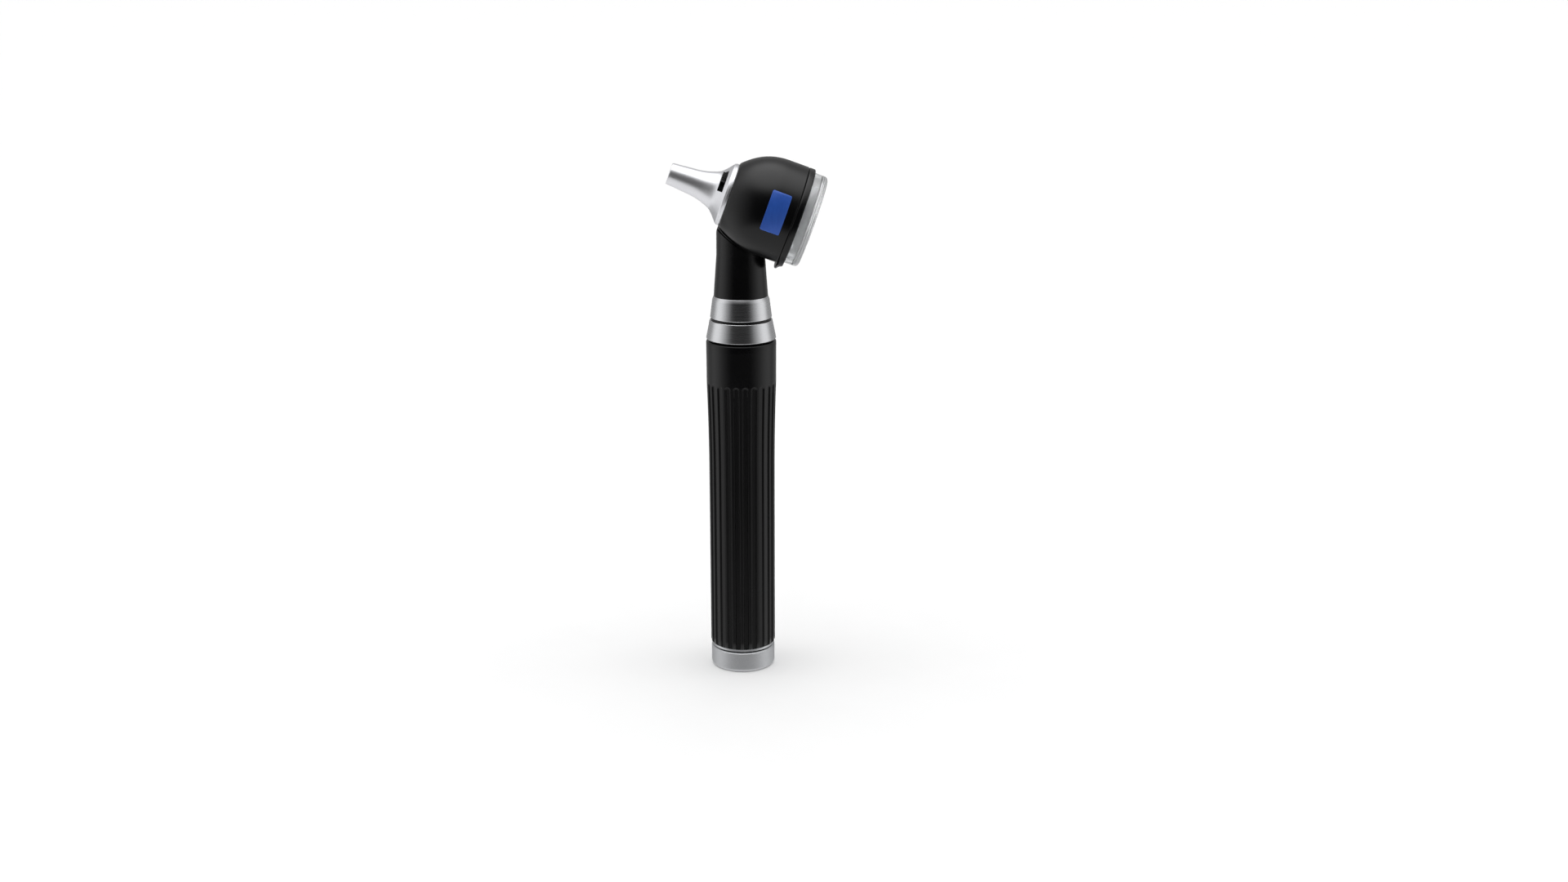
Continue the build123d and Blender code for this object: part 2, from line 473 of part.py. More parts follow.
def lamp_insulator():
    return ring(LAMP_BASE_R, LAMP_CONTACT_R, LAMP_INSULATOR_LOW, LAMP_BASE_LOW)


def lamp_contact():
    head = disc(LAMP_HEAD_R, LAMP_BASE_LOW, LAMP_BASE_LOW + LAMP_HEAD)
    return disc(LAMP_CONTACT_R, LAMP_LOW, LAMP_BASE_LOW) + head


def neck_shell():
    """Moulded neck, cut to the underside of the head with a fine shadow groove."""
    top = SIGHT_HEIGHT
    waist = NECK_LOW + NECK_WAIST_RISE
    body = turned((NECK_BORE_R, NECK_LOW), (COLLAR_TOP_R, NECK_LOW), (NECK_WAIST_R, waist), (NECK_TOP_R, top),
                  (NECK_BORE_R, top))
    skin = ring(BIG, NECK_TOP_R - NECK_GROOVE_DEPTH, NECK_LOW, top + 1)
    groove = skin & seated(head_form(-NECK_GROOVE, HEAD_FRONT - NECK_GROOVE))
    body = body - seated(head_form(0, HEAD_FRONT)) - seated(disc(BIG, HEAD_FRONT - BIG, HEAD_FRONT)) - groove
    body = max(body.solids(), key=lambda solid: solid.volume)
    return body - collar_screws()


# ---------------------------------------------------------------- head
def head_form(inset, front):
    """The head's outer form, drawn in by inset, from its front to its rear face."""
    front_r, full_r = HEAD_FRONT_R - inset, HEAD_R - inset
    dome = Bezier((front_r, 0, front), (front_r + 3.1, 0, front + 3.25), (full_r, 0, front + 7.45),
                  (full_r, 0, HEAD_DOME))
    side = Polyline((full_r, 0, HEAD_DOME), (full_r, 0, HEAD_REAR), (0, 0, HEAD_REAR), (0, 0, front),
                    (front_r, 0, front))
    body = revolve(make_face(dome.edges() + side.edges()), Axis.Z)
    low, front_low = -HEAD_CHIN + inset, -HEAD_FRONT_R - 0.2 + inset
    chin = Bezier((front_low, 0, front), (front_low - 1.5, 0, front + 4.85), (low, 0, front + 9.35),
                  (low, 0, HEAD_DOME))
    keep = Polyline((low, 0, HEAD_DOME), (low, 0, HEAD_REAR), (BIG, 0, HEAD_REAR), (BIG, 0, front),
                    (front_low, 0, front))
    above = extrude(make_face(chin.edges() + keep.edges()), BIG, both=True)
    return body & above


def rear_seal():
    """Rubber cord in the head's rear face that the lens frame closes on."""
    low = HEAD_REAR - REAR_SEAL_THICK
    outer, inner = SEAL_GROOVE_INSET, SEAL_GROOVE_INSET + SEAL_WIDTH
    body = chinned(HEAD_R - outer, HEAD_CHIN - outer, low, HEAD_REAR, REAR_SEAL_CORNER)
    return body - chinned(HEAD_R - inner, HEAD_CHIN - inner, low - 1, HEAD_REAR + 1, REAR_SEAL_CORNER)


def side_label():
    """Plain rectangular inlay on the near side."""
    start, end = degrees(asin(LABEL_LOW / HEAD_R)), degrees(asin(LABEL_HIGH / HEAD_R))
    outer, inner = HEAD_R + LABEL_PROUD, HEAD_R + LABEL_PROUD - LABEL_THICK
    plate = sector(outer, inner, LABEL_START, LABEL_START + LABEL_LENGTH, 90 - end, 90 - start)
    corners = [edge for edge in plate.edges() if abs(edge.length - LABEL_THICK) < 0.01]
    return fillet(corners, LABEL_ROUND)


def nose_screw():
    """One screw through the head's front wall and the nose flange into the cone."""
    shank = disc(NOSE_SCREW_R, NOSE_REAR - NOSE_SCREW_BITE, CAVITY_FRONT)
    head = disc(NOSE_SCREW_HEAD_R, CAVITY_FRONT, CAVITY_FRONT + NOSE_SCREW_HEAD)
    return Pos(NOSE_SCREW_PCR, 0, 0) * (shank + head)


def head_shell():
    """Moulded head: hollow chamber, front wall, spigot into the neck and pivot boss."""
    spigot_low = SIGHT_HEIGHT - HEAD_SPIGOT_DEPTH
    body = seated(head_form(0, HEAD_FRONT)) + disc(HEAD_SPIGOT_R, spigot_low, SIGHT_HEIGHT - 10)
    cavity = head_form(HEAD_WALL, CAVITY_FRONT) + disc(HEAD_R - HEAD_WALL - 2, HEAD_REAR - 1, HEAD_REAR + 1)
    rear_cut = chinned(HEAD_R - HEAD_WALL, HEAD_CHIN - HEAD_WALL, HEAD_REAR - 3, HEAD_REAR + 1, 0.3)
    body = body - seated(cavity + rear_cut)
    body = body - disc(HEAD_SPIGOT_R - HEAD_SPIGOT_WALL, spigot_low - 1, SIGHT_HEIGHT - HEAD_BORE_TOP)
    boss = Pos(PIVOT_RISE, 0, 0) * disc(PIVOT_BOSS_R, PIVOT_BOSS_FRONT, HEAD_REAR)
    bore = Pos(PIVOT_RISE, 0, 0) * disc(PIVOT_BORE_R, PIVOT_BOSS_FRONT - 1, HEAD_REAR + 1)
    body = body + seated(boss) - seated(bore)
    body = body - seated(disc(FERRULE_R, HEAD_FRONT - 1, CAVITY_FRONT + 1)) - seated(rear_seal())
    body = body - seated(side_label())
    return body - [seated(screw) for screw in around(nose_screw(), NOSE_SCREWS)]


# ---------------------------------------------------------------- nose
def nose_flange():
    """Metal plate between the cone and the head's front wall."""
    plate = ring(NOSE_FLANGE_R, FERRULE_R, NOSE_REAR, HEAD_FRONT)
    edge = plate.edges().filter_by(GeomType.CIRCLE).sort_by(lambda e: e.radius)[-1]
    return chamfer(edge, 0.2) - around(nose_screw(), NOSE_SCREWS)


def nose_cone():
    """Turned metal cone that takes the speculum, with the lock's slot near its foot."""
    waist = (LOCK_R + NOSE_LOCK_WALL, 0, LOCK_FRONT)
    foot = (LOCK_R + NOSE_FOOT_WALL, 0, NOSE_REAR - NOSE_FOOT_EDGE)
    side = Spline(*[(NOSE_TIP_R + grown, 0, NOSE_TIP + along) for grown, along in NOSE_STATIONS], waist, foot)
    rest = Polyline(foot, (foot[0], 0, NOSE_REAR), (0, 0, NOSE_REAR), (0, 0, NOSE_TIP),
                    (NOSE_TIP_R, 0, NOSE_TIP))
    body = revolve(make_face(side.edges() + rest.edges()), Axis.Z)
    body = fillet(body.edges().sort_by(Axis.Z)[0], NOSE_TIP_ROUND)
    body = body - disc(NOSE_BORE_R, NOSE_TIP - 1, NOSE_REAR + 1)
    body = body - disc(LOCK_ROOM_R, LOCK_ROOM_FRONT, NOSE_REAR + 1)
    low, high = SLOT_PLACE - SLOT_WIDTH / 2, SLOT_PLACE + SLOT_WIDTH / 2
    slot = sector(BIG, LOCK_R - 0.5, low, high, 90 - SLOT_HIGH_ANGLE, 90 - SLOT_LOW_ANGLE)
    return body - slot - around(nose_screw(), NOSE_SCREWS)


def lock_bush():
    """Bush screwed in behind the cone: the lock ring turns on it and its flange keeps the ring in."""
    body = ring(BUSH_R, BUSH_BORE_R, LOCK_ROOM_FRONT, NOSE_REAR)
    low = LOCK_REAR + FACE_GAP
    return body + ring(LOCK_ROOM_R - 0.02, BUSH_BORE_R, low, low + BUSH_FLANGE_THICK)


def lock_ring():
    return ring(LOCK_R, LOCK_INNER_R, LOCK_FRONT, LOCK_REAR)


def lock_knob():
    """Ridged finger piece on the lock ring, standing in the cone's slot."""
    low, high = SLOT_PLACE - SLOT_WIDTH / 2 + KNOB_SIDE_GAP, SLOT_PLACE + SLOT_WIDTH / 2 - KNOB_SIDE_GAP
    end = 90 - SLOT_HIGH_ANGLE + KNOB_END_GAP
    body = sector(KNOB_R, LOCK_R, low, high, end, end + KNOB_ARC)
    step = KNOB_ARC / KNOB_RIDGES
    side = 2 * KNOB_RIDGE_DEPTH
    groove = Pos(KNOB_R, 0, SLOT_PLACE) * Rot(0, 0, 45) * Box(side, side, SLOT_WIDTH)
    return body - [Rot(0, 0, end + step * k) * groove for k in range(1, KNOB_RIDGES)]


def sight_tube():
    """Thin metal tube through the nose that the eye looks along, belled at its rear."""
    rear = FERRULE_REAR
    bore = SIGHT_TUBE_R - SIGHT_TUBE_WALL
    front, end = NOSE_TIP + FIBRE_RECESS, rear + SIGHT_BELL
    return turned((bore, front), (SIGHT_TUBE_R, front), (SIGHT_TUBE_R, rear), (SIGHT_BELL_R, end),
                  (SIGHT_BELL_R - SIGHT_TUBE_WALL, end), (bore, rear))


def fibre_sleeve():
    """Glass fibres spread into a ring round the sight tube, polished at the tip."""
    return ring(NOSE_BORE_R - 0.02, SIGHT_TUBE_R, NOSE_TIP + FIBRE_RECESS, FERRULE_FRONT)


def fibre_ferrule():
    """Collar in which the bundle is potted and spread into the ring."""
    return ring(FERRULE_R, SIGHT_TUBE_R, FERRULE_FRONT, FERRULE_REAR)


def fibre_bundle():
    """Bundle of glass fibres from the lamp up into the underside of the ferrule."""
    start = Vector(0, 0, BULB_TOP + BUNDLE_GAP)
    end = SIGHT.from_local_coords(Vector(-FERRULE_R, 0, 0))
    before = SIGHT.from_local_coords(Vector(-FERRULE_R - BUNDLE_STRAIGHT, 0, 0))
    turn = Vector(0, 0, start.Z + BUNDLE_RISE)
    route = FilletPolyline(start, turn, before, end, radius=BUNDLE_BEND_R)
    bundle = sweep(Plane(origin=start, z_dir=(0, 0, 1)) * Circle(BUNDLE_R), path=route)
    reach = Plane(origin=end, z_dir=SIGHT.x_dir) * Cylinder(BUNDLE_R, 2, align=TO_AXIS)
    return bundle + reach - seated(disc(FERRULE_R, FERRULE_FRONT - 1, FERRULE_REAR + BIG))


# ---------------------------------------------------------------- swinging lens
def lens_frame():
    """Black round rim; its lowest edge is sloped behind and stands below the head as a thumb lip."""
    body = disc(HEAD_R, FRAME_FRONT, FRAME_REAR)
    body = chamfer(body.edges().filter_by(GeomType.CIRCLE), FRAME_EDGE)
    slope = Polyline((-HEAD_R, 0, FRAME_FRONT + LIP_THICK), (-HEAD_R + LIP_HEIGHT, 0, FRAME_REAR),
                     (-BIG, 0, FRAME_REAR), (-BIG, 0, FRAME_FRONT + LIP_THICK), close=True)
    body = body - extrude(make_face(slope), BIG, both=True)
    hole = Pos(PIVOT_RISE, 0, 0) * disc(PIVOT_R, FRAME_FRONT - 1, FRAME_REAR - PIVOT_SEAT)
    return body - disc(FRAME_OPENING_R, FRAME_FRONT - 1, FRAME_REAR + 1) - hole


def lens_ring():
    """Clear moulded ring between the rim and the lens plate."""
    body = chinned(LENS_R, LENS_CHIN, FRAME_REAR, LENS_PLATE_FRONT, LENS_CORNER)
    return body - disc(LENS_BORE_R, FRAME_REAR - 1, LENS_REAR)


def viewing_lens():
    """Clear acrylic magnifier: rounded plate behind, convex towards the object."""
    plate = chinned(LENS_R, LENS_CHIN, LENS_PLATE_FRONT, LENS_REAR, LENS_CORNER)
    plate = fillet(plate.edges().group_by(Axis.Z)[-1], LENS_EDGE_ROUND)
    bulge_r = LENS_BORE_R - 0.1
    ball_r = (bulge_r ** 2 + LENS_BULGE ** 2) / (2 * LENS_BULGE)
    ball = Pos(0, 0, LENS_PLATE_FRONT - LENS_BULGE + ball_r) * Sphere(ball_r)
    return plate + (ball & disc(bulge_r, LENS_PLATE_FRONT - LENS_BULGE - 1, LENS_PLATE_FRONT + 0.5))


def pivot_pin():
    pin = disc(PIVOT_R, CLIP_FRONT - PIN_TAIL, FRAME_REAR - PIVOT_SEAT)
    return Pos(PIVOT_RISE, 0, 0) * (pin - ring(PIVOT_R + 1, PIVOT_R - CLIP_GROOVE, CLIP_FRONT, CLIP_REAR))


def pivot_clip():
    """Open spring clip in the pin's groove."""
    return Pos(PIVOT_RISE, 0, 0) * sector(CLIP_R, PIVOT_R - CLIP_GROOVE, CLIP_FRONT, CLIP_REAR, 40, 320)


def pivot_washer():
    return Pos(PIVOT_RISE, 0, 0) * ring(CLIP_R, PIVOT_R, CLIP_REAR, PIVOT_BOSS_FRONT)


# ---------------------------------------------------------------- the pieces, one file each
PIECES = {
    "end_cap": end_cap(),
    "cap_seal": cap_seal(),
    "battery_spring": battery_spring(),
    "spring_seat": spring_seat(),
    "cell_lower": cell(CELL_LOW),
    "cell_upper": cell(CELL_LOW + CELL_LENGTH),
    "battery_tube": battery_tube(),
    "grip_barrel": grip_barrel(),
    "handle_hub": handle_hub(),
    "hub_screws": hub_screws(),
    "positive_plate": positive_plate(),
    "contact_holder": contact_holder(),
    "resistor_disc": resistor_disc(),
    "dimmer_rotor": dimmer_rotor(),
    "dimmer_wiper": dimmer_wiper(),
    "dimmer_drive_pin": dimmer_drive_pin(),
    "dimmer_ring": dimmer_ring(),
    "dimmer_retainer": dimmer_retainer(),
    "pin_insulator": pin_insulator(),
    "pin_terminal": pin_terminal(),
    "contact_spring": contact_spring(),
    "contact_pin": contact_pin(),
    "head_collar": head_collar(),
    "collar_screws": collar_screws(),
    "lamp_sleeve": lamp_sleeve(),
    "lamp_base": lamp_base(),
    "lamp_bulb": lamp_bulb(),
    "lamp_insulator": lamp_insulator(),
    "lamp_contact": lamp_contact(),
    "neck_shell": neck_shell(),
    "head_shell": head_shell(),
    "fibre_bundle": fibre_bundle(),
}
SIGHT_PIECES = {
    "rear_seal": rear_seal(),
    "side_label": side_label(),
    "nose_screws": around(nose_screw(), NOSE_SCREWS),
    "nose_flange": nose_flange(),
    "nose_cone": nose_cone(),
    "lock_bush": lock_bush(),
    "lock_ring": lock_ring(),
    "lock_knob": lock_knob(),
    "sight_tube": sight_tube(),
    "fibre_sleeve": fibre_sleeve(),
    "fibre_ferrule": fibre_ferrule(),
    "lens_frame": lens_frame(),
    "lens_ring": lens_ring(),
    "viewing_lens": viewing_lens(),
    "pivot_pin": pivot_pin(),
    "pivot_clip": pivot_clip(),
    "pivot_washer": pivot_washer(),
}


def write(name, shape):
    """Write one piece, or one group of equal pieces, as NAME.step."""
    solids = shape if isinstance(shape, list) else shape.solids()
    export_step(Compound(children=list(solids)) if len(solids) > 1 else solids[0], f"parts/{name}.step")


os.makedirs("parts", exist_ok=True)
for piece, form in PIECES.items():
    write(piece, form)
for piece, form in SIGHT_PIECES.items():
    write(piece, [seated(solid) for solid in form] if isinstance(form, list) else seated(form))
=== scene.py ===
"""The otoscope's outside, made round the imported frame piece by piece, standing on a white table.

Sizes are in millimetres until they reach Blender, which works in metres.
"""
import bpy
import bmesh
import json
from math import ceil, cos, hypot, pi, radians, sin, sqrt, tan
from mathutils import Matrix, Vector


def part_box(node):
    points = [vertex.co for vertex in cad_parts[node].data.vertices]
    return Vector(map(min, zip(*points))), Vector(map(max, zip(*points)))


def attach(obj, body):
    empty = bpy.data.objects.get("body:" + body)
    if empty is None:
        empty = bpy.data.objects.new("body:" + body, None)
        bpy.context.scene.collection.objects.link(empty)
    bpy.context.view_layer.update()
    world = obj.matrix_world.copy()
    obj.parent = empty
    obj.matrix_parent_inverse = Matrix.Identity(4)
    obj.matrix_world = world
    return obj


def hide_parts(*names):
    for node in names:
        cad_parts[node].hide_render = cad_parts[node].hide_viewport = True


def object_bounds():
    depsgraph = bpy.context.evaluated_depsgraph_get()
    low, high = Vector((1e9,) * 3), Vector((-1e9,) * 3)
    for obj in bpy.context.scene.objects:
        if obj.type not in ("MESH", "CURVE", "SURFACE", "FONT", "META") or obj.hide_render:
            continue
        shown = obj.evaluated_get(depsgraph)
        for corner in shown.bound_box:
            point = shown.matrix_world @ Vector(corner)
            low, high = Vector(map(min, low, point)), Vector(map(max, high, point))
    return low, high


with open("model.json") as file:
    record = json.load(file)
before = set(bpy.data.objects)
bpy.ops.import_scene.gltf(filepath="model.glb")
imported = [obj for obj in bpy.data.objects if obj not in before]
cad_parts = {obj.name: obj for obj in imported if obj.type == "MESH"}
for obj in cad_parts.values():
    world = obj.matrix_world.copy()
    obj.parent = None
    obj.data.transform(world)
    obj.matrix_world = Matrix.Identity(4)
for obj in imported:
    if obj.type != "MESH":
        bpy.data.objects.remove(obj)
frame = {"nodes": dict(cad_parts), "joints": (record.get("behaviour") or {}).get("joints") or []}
cad_low, cad_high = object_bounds()
nodes = frame["nodes"]
MM = 0.001


# ---- Camera ----
# A standard lens from the near side, level with the head and looking a little down.
CAMERA_PLACE = (0.0141, -0.567, 0.2372)
CAMERA_DIP = 15.6
CAMERA_LENS = 40.4
camera = bpy.data.objects.new("camera", bpy.data.cameras.new("camera"))
bpy.context.scene.collection.objects.link(camera)
camera.data.lens = CAMERA_LENS
camera.location = CAMERA_PLACE
camera.rotation_euler = (radians(90 - CAMERA_DIP), 0, 0)
bpy.context.scene.camera = camera
bpy.context.scene.view_settings.view_transform = "Standard"


# ---- End cap ----
# The foot of the handle: a cup turned from aluminium bar, blasted and clear anodised.
# Its threaded spigot screws up into the battery tube and its well holds the spring.
CAP_FOOT_ROUND, CAP_LIP, CAP_BREAK = 1.2, 0.4, 0.15
SPIGOT_WALL, THREAD_PITCH, THREAD_DEPTH, CAP_WELL = 0.65, 0.75, 0.22, 2.0
SPIGOT_BELOW_FLANGE, THREAD_RUNOUT, RINGS_PER_TURN = 2.6, 0.3, 6
CAP_GRIT = 0.22
SHARP = radians(50)
AROUND = 128


def linear(colour):
    """An sRGB hex colour as linear values."""
    parts = [int(colour[k:k + 2], 16) / 255 for k in (1, 3, 5)]
    return [p / 12.92 if p <= 0.04045 else ((p + 0.055) / 1.055) ** 2.4 for p in parts] + [1.0]


def surface(name, colour, **sockets):
    """A new material and its shader, with its even values on the shader's own sockets."""
    material = bpy.data.materials.new(name)
    material.use_nodes = True
    shader = material.node_tree.nodes["Principled BSDF"]
    shader.inputs["Base Color"].default_value = linear(colour)
    for socket, value in sockets.items():
        shader.inputs[socket.replace("_", " ")].default_value = value
    return material, shader


def add(material, kind, values, **options):
    """Adds one node; values go to its sockets, and a value that is a socket is linked."""
    node = material.node_tree.nodes.new("ShaderNode" + kind)
    for option, value in options.items():
        setattr(node, option, value)
    for socket, value in values.items():
        if isinstance(value, bpy.types.NodeSocket):
            material.node_tree.links.new(value, node.inputs[socket])
        else:
            node.inputs[socket].default_value = value
    return node


def join(source, target):
    """Links one socket to another."""
    source.id_data.links.new(source, target)


def rounded(corners):
    """A closed outline from (radius, height, rounding) corners, each rounded with an arc."""
    outline = []
    for k, (radius, height, rounding) in enumerate(corners):
        here = Vector((radius, height))
        if rounding == 0:
            outline.append(here)
            continue
        before = (Vector(corners[k - 1][:2]) - here).normalized()
        after = (Vector(corners[(k + 1) % len(corners)][:2]) - here).normalized()
        half = before.angle(after) / 2
        centre = here + (before + after).normalized() * (rounding / sin(half))
        start = here + before * (rounding / tan(half)) - centre
        end = here + after * (rounding / tan(half)) - centre
        turn = pi - 2 * half
        steps = max(2, ceil(turn / radians(18)))
        for step in range(steps + 1):
            share = step / steps
            arm = start * (sin((1 - share) * turn) / sin(turn)) + end * (sin(share * turn) / sin(turn))
            outline.append(centre + arm)
    return outline


def turned(outline, count=AROUND):
    """Rings of points for an outline spun round the Z axis."""
    angles = [2 * pi * k / count for k in range(count)]
    return [[Vector((p[0] * cos(a), p[0] * sin(a), p[1])) for a in angles] for p in outline]


def cleaned(mesh):
    """Merges points that meet, drops loose edges and sets normals, smoothness and sharp edges."""
    bmesh.ops.remove_doubles(mesh, verts=mesh.verts, dist=0.0005 * MM)
    bmesh.ops.delete(mesh, geom=[e for e in mesh.edges if not e.link_faces], context="EDGES")
    bmesh.ops.recalc_face_normals(mesh, faces=mesh.faces)
    for face in mesh.faces:
        face.smooth = True
    for edge in mesh.edges:
        edge.smooth = len(edge.link_faces) == 2 and edge.calc_face_angle() < SHARP


def piece(name, rings, material, body, replaced=(), place=Matrix.Identity(4)):
    """One closed piece from a loop of rings, with its material, its body and its CAD nodes."""
    mesh = bmesh.new()
    rows = [[mesh.verts.new(place @ (point * MM)) for point in ring] for ring in rings]
    for low, high in zip(rows, rows[1:] + rows[:1]):
        for k in range(len(low)):
            after = (k + 1) % len(low)
            mesh.faces.new((low[k], low[after], high[after], high[k]))
    cleaned(mesh)
    data = bpy.data.meshes.new(name)
    mesh.to_mesh(data)
    mesh.free()
    data.materials.append(material)
    made = bpy.data.objects.new(name, data)
    bpy.context.scene.collection.objects.link(made)
    made.modifiers.new("even_normals", "WEIGHTED_NORMAL").keep_sharp = True
    if replaced:
        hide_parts(*replaced)
    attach(made, body)
    return made


# Blasted aluminium: an even grey metal with a soft, slightly grainy shine.
blasted_aluminium, shader = surface("blasted_anodised_aluminium", "#c4c6c8", Metallic=0.9, Roughness=0.5)
place = add(blasted_aluminium, "TexCoord", {})
grit = add(blasted_aluminium, "TexNoise",
           {"Vector": place.outputs["Object"], "Scale": 1 / (CAP_GRIT * MM), "Detail": 3.0})
tone = add(blasted_aluminium, "ValToRGB", {"Fac": grit.outputs["Fac"]})
tone.color_ramp.elements[0].color = linear("#b3b5b8")
tone.color_ramp.elements[1].color = linear("#d6d7d9")
pits = add(blasted_aluminium, "Bump", {"Height": grit.outputs["Fac"], "Strength": 0.5, "Distance": 0.02 * MM})
join(tone.outputs["Color"], shader.inputs["Base Color"])
join(pits.outputs["Normal"], shader.inputs["Normal"])

cap_low, cap_high = [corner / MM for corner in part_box("end_cap")]
seal_low, seal_high = [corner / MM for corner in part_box("cap_seal")]
cap_r, rim_top, spigot_top = cap_high.x, seal_low.z, cap_high.z
spigot_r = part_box("battery_tube")[1].x / MM - SPIGOT_BELOW_FLANGE
well_r = spigot_r - SPIGOT_WALL
cap_outline = rounded([(0, cap_low.z, 0), (cap_r, cap_low.z, CAP_FOOT_ROUND),
                       (cap_r, rim_top - CAP_LIP, CAP_BREAK), (cap_r - CAP_LIP, rim_top, CAP_BREAK),
                       (spigot_r, rim_top, 0)])
cap_rings = turned(cap_outline[:-1])
thread_length = spigot_top - rim_top - 2 * THREAD_RUNOUT
thread_steps = ceil(thread_length / THREAD_PITCH * RINGS_PER_TURN)
for step in range(thread_steps + 1):
    height = rim_top + THREAD_RUNOUT + thread_length * step / thread_steps
    ring = []
    for k in range(AROUND):
        turn = 2 * pi * k / AROUND
        depth = THREAD_DEPTH * (0.5 - 0.5 * cos(2 * pi * height / THREAD_PITCH + turn))
        ring.append(Vector(((spigot_r - depth) * cos(turn), (spigot_r - depth) * sin(turn), height)))
    cap_rings.append(ring)
cap_rings += turned([(spigot_r - THREAD_DEPTH, spigot_top), (well_r, spigot_top), (well_r, CAP_WELL),
                     (0, CAP_WELL)])
piece("end_cap_turned", cap_rings, blasted_aluminium, "end_cap", ["end_cap"])


# ---- Seal and battery tube ----
# A black rubber ring closes the seam above the cap. The tube is drawn aluminium;
# only the thin flange at its foot shows, as a bright line under the grip.
SEAL_WIDTH, SEAL_ROUND = 1.8, 0.15

# Nitrile rubber: dull black, with a bloom that makes its shine uneven.
rubber, shader = surface("moulded_nitrile_rubber", "#0c0c0d", Roughness=0.65)
place = add(rubber, "TexCoord", {})
bloom = add(rubber, "TexNoise", {"Vector": place.outputs["Object"], "Scale": 1 / (0.5 * MM), "Detail": 3.0})
wear = add(rubber, "MapRange", {"Value": bloom.outputs["Fac"], "To Min": 0.55, "To Max": 0.8})
join(wear.outputs["Result"], shader.inputs["Roughness"])
seal_bore_r = seal_high.x - SEAL_WIDTH
seal = rounded([(seal_high.x, seal_low.z, SEAL_ROUND), (seal_high.x, seal_high.z, SEAL_ROUND),
                (seal_bore_r, seal_high.z, 0), (seal_bore_r, seal_low.z, 0)])
piece("cap_seal_moulded", turned(seal), rubber, "cap_travel", ["cap_seal"])


def dress(material, *names):
    """Gives CAD nodes their finish."""
    for name in names:
        nodes[name].data.materials.clear()
        nodes[name].data.materials.append(material)


dress(rubber, "rear_seal")


# ---- Metal and moulded pieces inside ----
# Springs, screws, pins, sleeves, contacts, cells and insulators, seen through the lens or
# where a piece has moved. Each keeps its CAD shape and takes the finish of its own stock.
STOCK = [
    # name, colours of its grain, metallic, roughness, grain in mm, nodes
    ("drawn_aluminium", "#b8babd", "#d2d4d6", 1.0, 0.32, 0.4, ["battery_tube", "lamp_sleeve", "fibre_ferrule"]),
    ("dark_anodised_aluminium", "#17181a", "#202124", 0.8, 0.4, 0.3, ["handle_hub"]),
    ("zinc_plated_steel", "#8e9093", "#aeb0b3", 1.0, 0.35, 0.3,
     ["hub_screws", "dimmer_drive_pin", "collar_screws", "nose_screws", "sight_tube", "pivot_pin",
      "pivot_washer", "spring_seat"]),
    ("blackened_steel", "#141416", "#1f2022", 0.7, 0.45, 0.3, ["lock_ring"]),
    ("bright_spring_wire", "#9a9c9f", "#bfc1c4", 1.0, 0.28, 0.2,
     ["battery_spring", "contact_spring", "pivot_clip"]),
    ("turned_brass", "#a8853f", "#cbaa62", 1.0, 0.3, 0.3,
     ["positive_plate", "dimmer_wiper", "pin_terminal", "contact_pin", "lamp_base", "lamp_contact",
      "lock_bush"]),
    ("natural_nylon", "#cfcabb", "#e0dccf", 0.0, 0.5, 0.6,
     ["contact_holder", "dimmer_rotor", "pin_insulator", "lamp_insulator"]),
    ("unglazed_ceramic", "#d4cfc3", "#e8e4da", 0.0, 0.75, 0.15, ["resistor_disc"]),
    ("lacquered_cell_can", "#3c4a52", "#4d5d66", 0.5, 0.3, 0.8, ["cell_lower", "cell_upper"]),
    ("polished_fibre_ends", "#cfc9b4", "#f2eedf", 0.0, 0.2, 0.08, ["fibre_bundle", "fibre_sleeve"]),
]
for name, low_tone, high_tone, metallic, roughness, grain, members in STOCK:
    stock, shader = surface(name, high_tone, Metallic=metallic, Roughness=roughness)
    place = add(stock, "TexCoord", {})
    mottle = add(stock, "TexNoise",
                 {"Vector": place.outputs["Object"], "Scale": 1 / (grain * MM), "Detail": 4.0})
    tone = add(stock, "ValToRGB", {"Fac": mottle.outputs["Fac"]})
    tone.color_ramp.elements[0].color = linear(low_tone)
    tone.color_ramp.elements[1].color = linear(high_tone)
    marks = add(stock, "Bump", {"Height": mottle.outputs["Fac"], "Strength": 0.3, "Distance": 0.01 * MM})
    spread = add(stock, "MapRange",
                 {"Value": mottle.outputs["Fac"], "To Min": roughness - 0.06, "To Max": roughness + 0.1})
    join(tone.outputs["Color"], shader.inputs["Base Color"])
    join(marks.outputs["Normal"], shader.inputs["Normal"])
    join(spread.outputs["Result"], shader.inputs["Roughness"])
    dress(stock, *members)

# Bulb glass: clear and thin, with a faint warm tint.
bulb_glass, shader = surface("clear_bulb_glass", "#fbf8f0", Roughness=0.03, IOR=1.5, Transmission_Weight=1.0)
place = add(bulb_glass, "TexCoord", {})
ripple = add(bulb_glass, "TexNoise", {"Vector": place.outputs["Object"], "Scale": 1 / (2.0 * MM)})
waves = add(bulb_glass, "Bump", {"Height": ripple.outputs["Fac"], "Strength": 0.2, "Distance": 0.02 * MM})
join(waves.outputs["Normal"], shader.inputs["Normal"])
dress(bulb_glass, "lamp_bulb")


# ---- Grip ----
# The sleeve that the hand holds, moulded in black ABS and slid over the tube. Twenty-four
# flutes run up its side and end in round tops under a smooth band.
FLUTES, FLUTE_WIDTH, FLUTE_DEPTH, FLUTE_EDGE = 24, 1.5, 0.5, 0.16
GRIP_STRAIGHT_R, GRIP_BAND_R, BAND_HEIGHT, FLARE_HEIGHT = 10.95, 11.5, 13.8, 31.7
GRIP_BORE_R, GRIP_EDGE, GRIP_FOOT_EDGE = 8.8, 0.4, 0.25
PER_FLUTE = 20
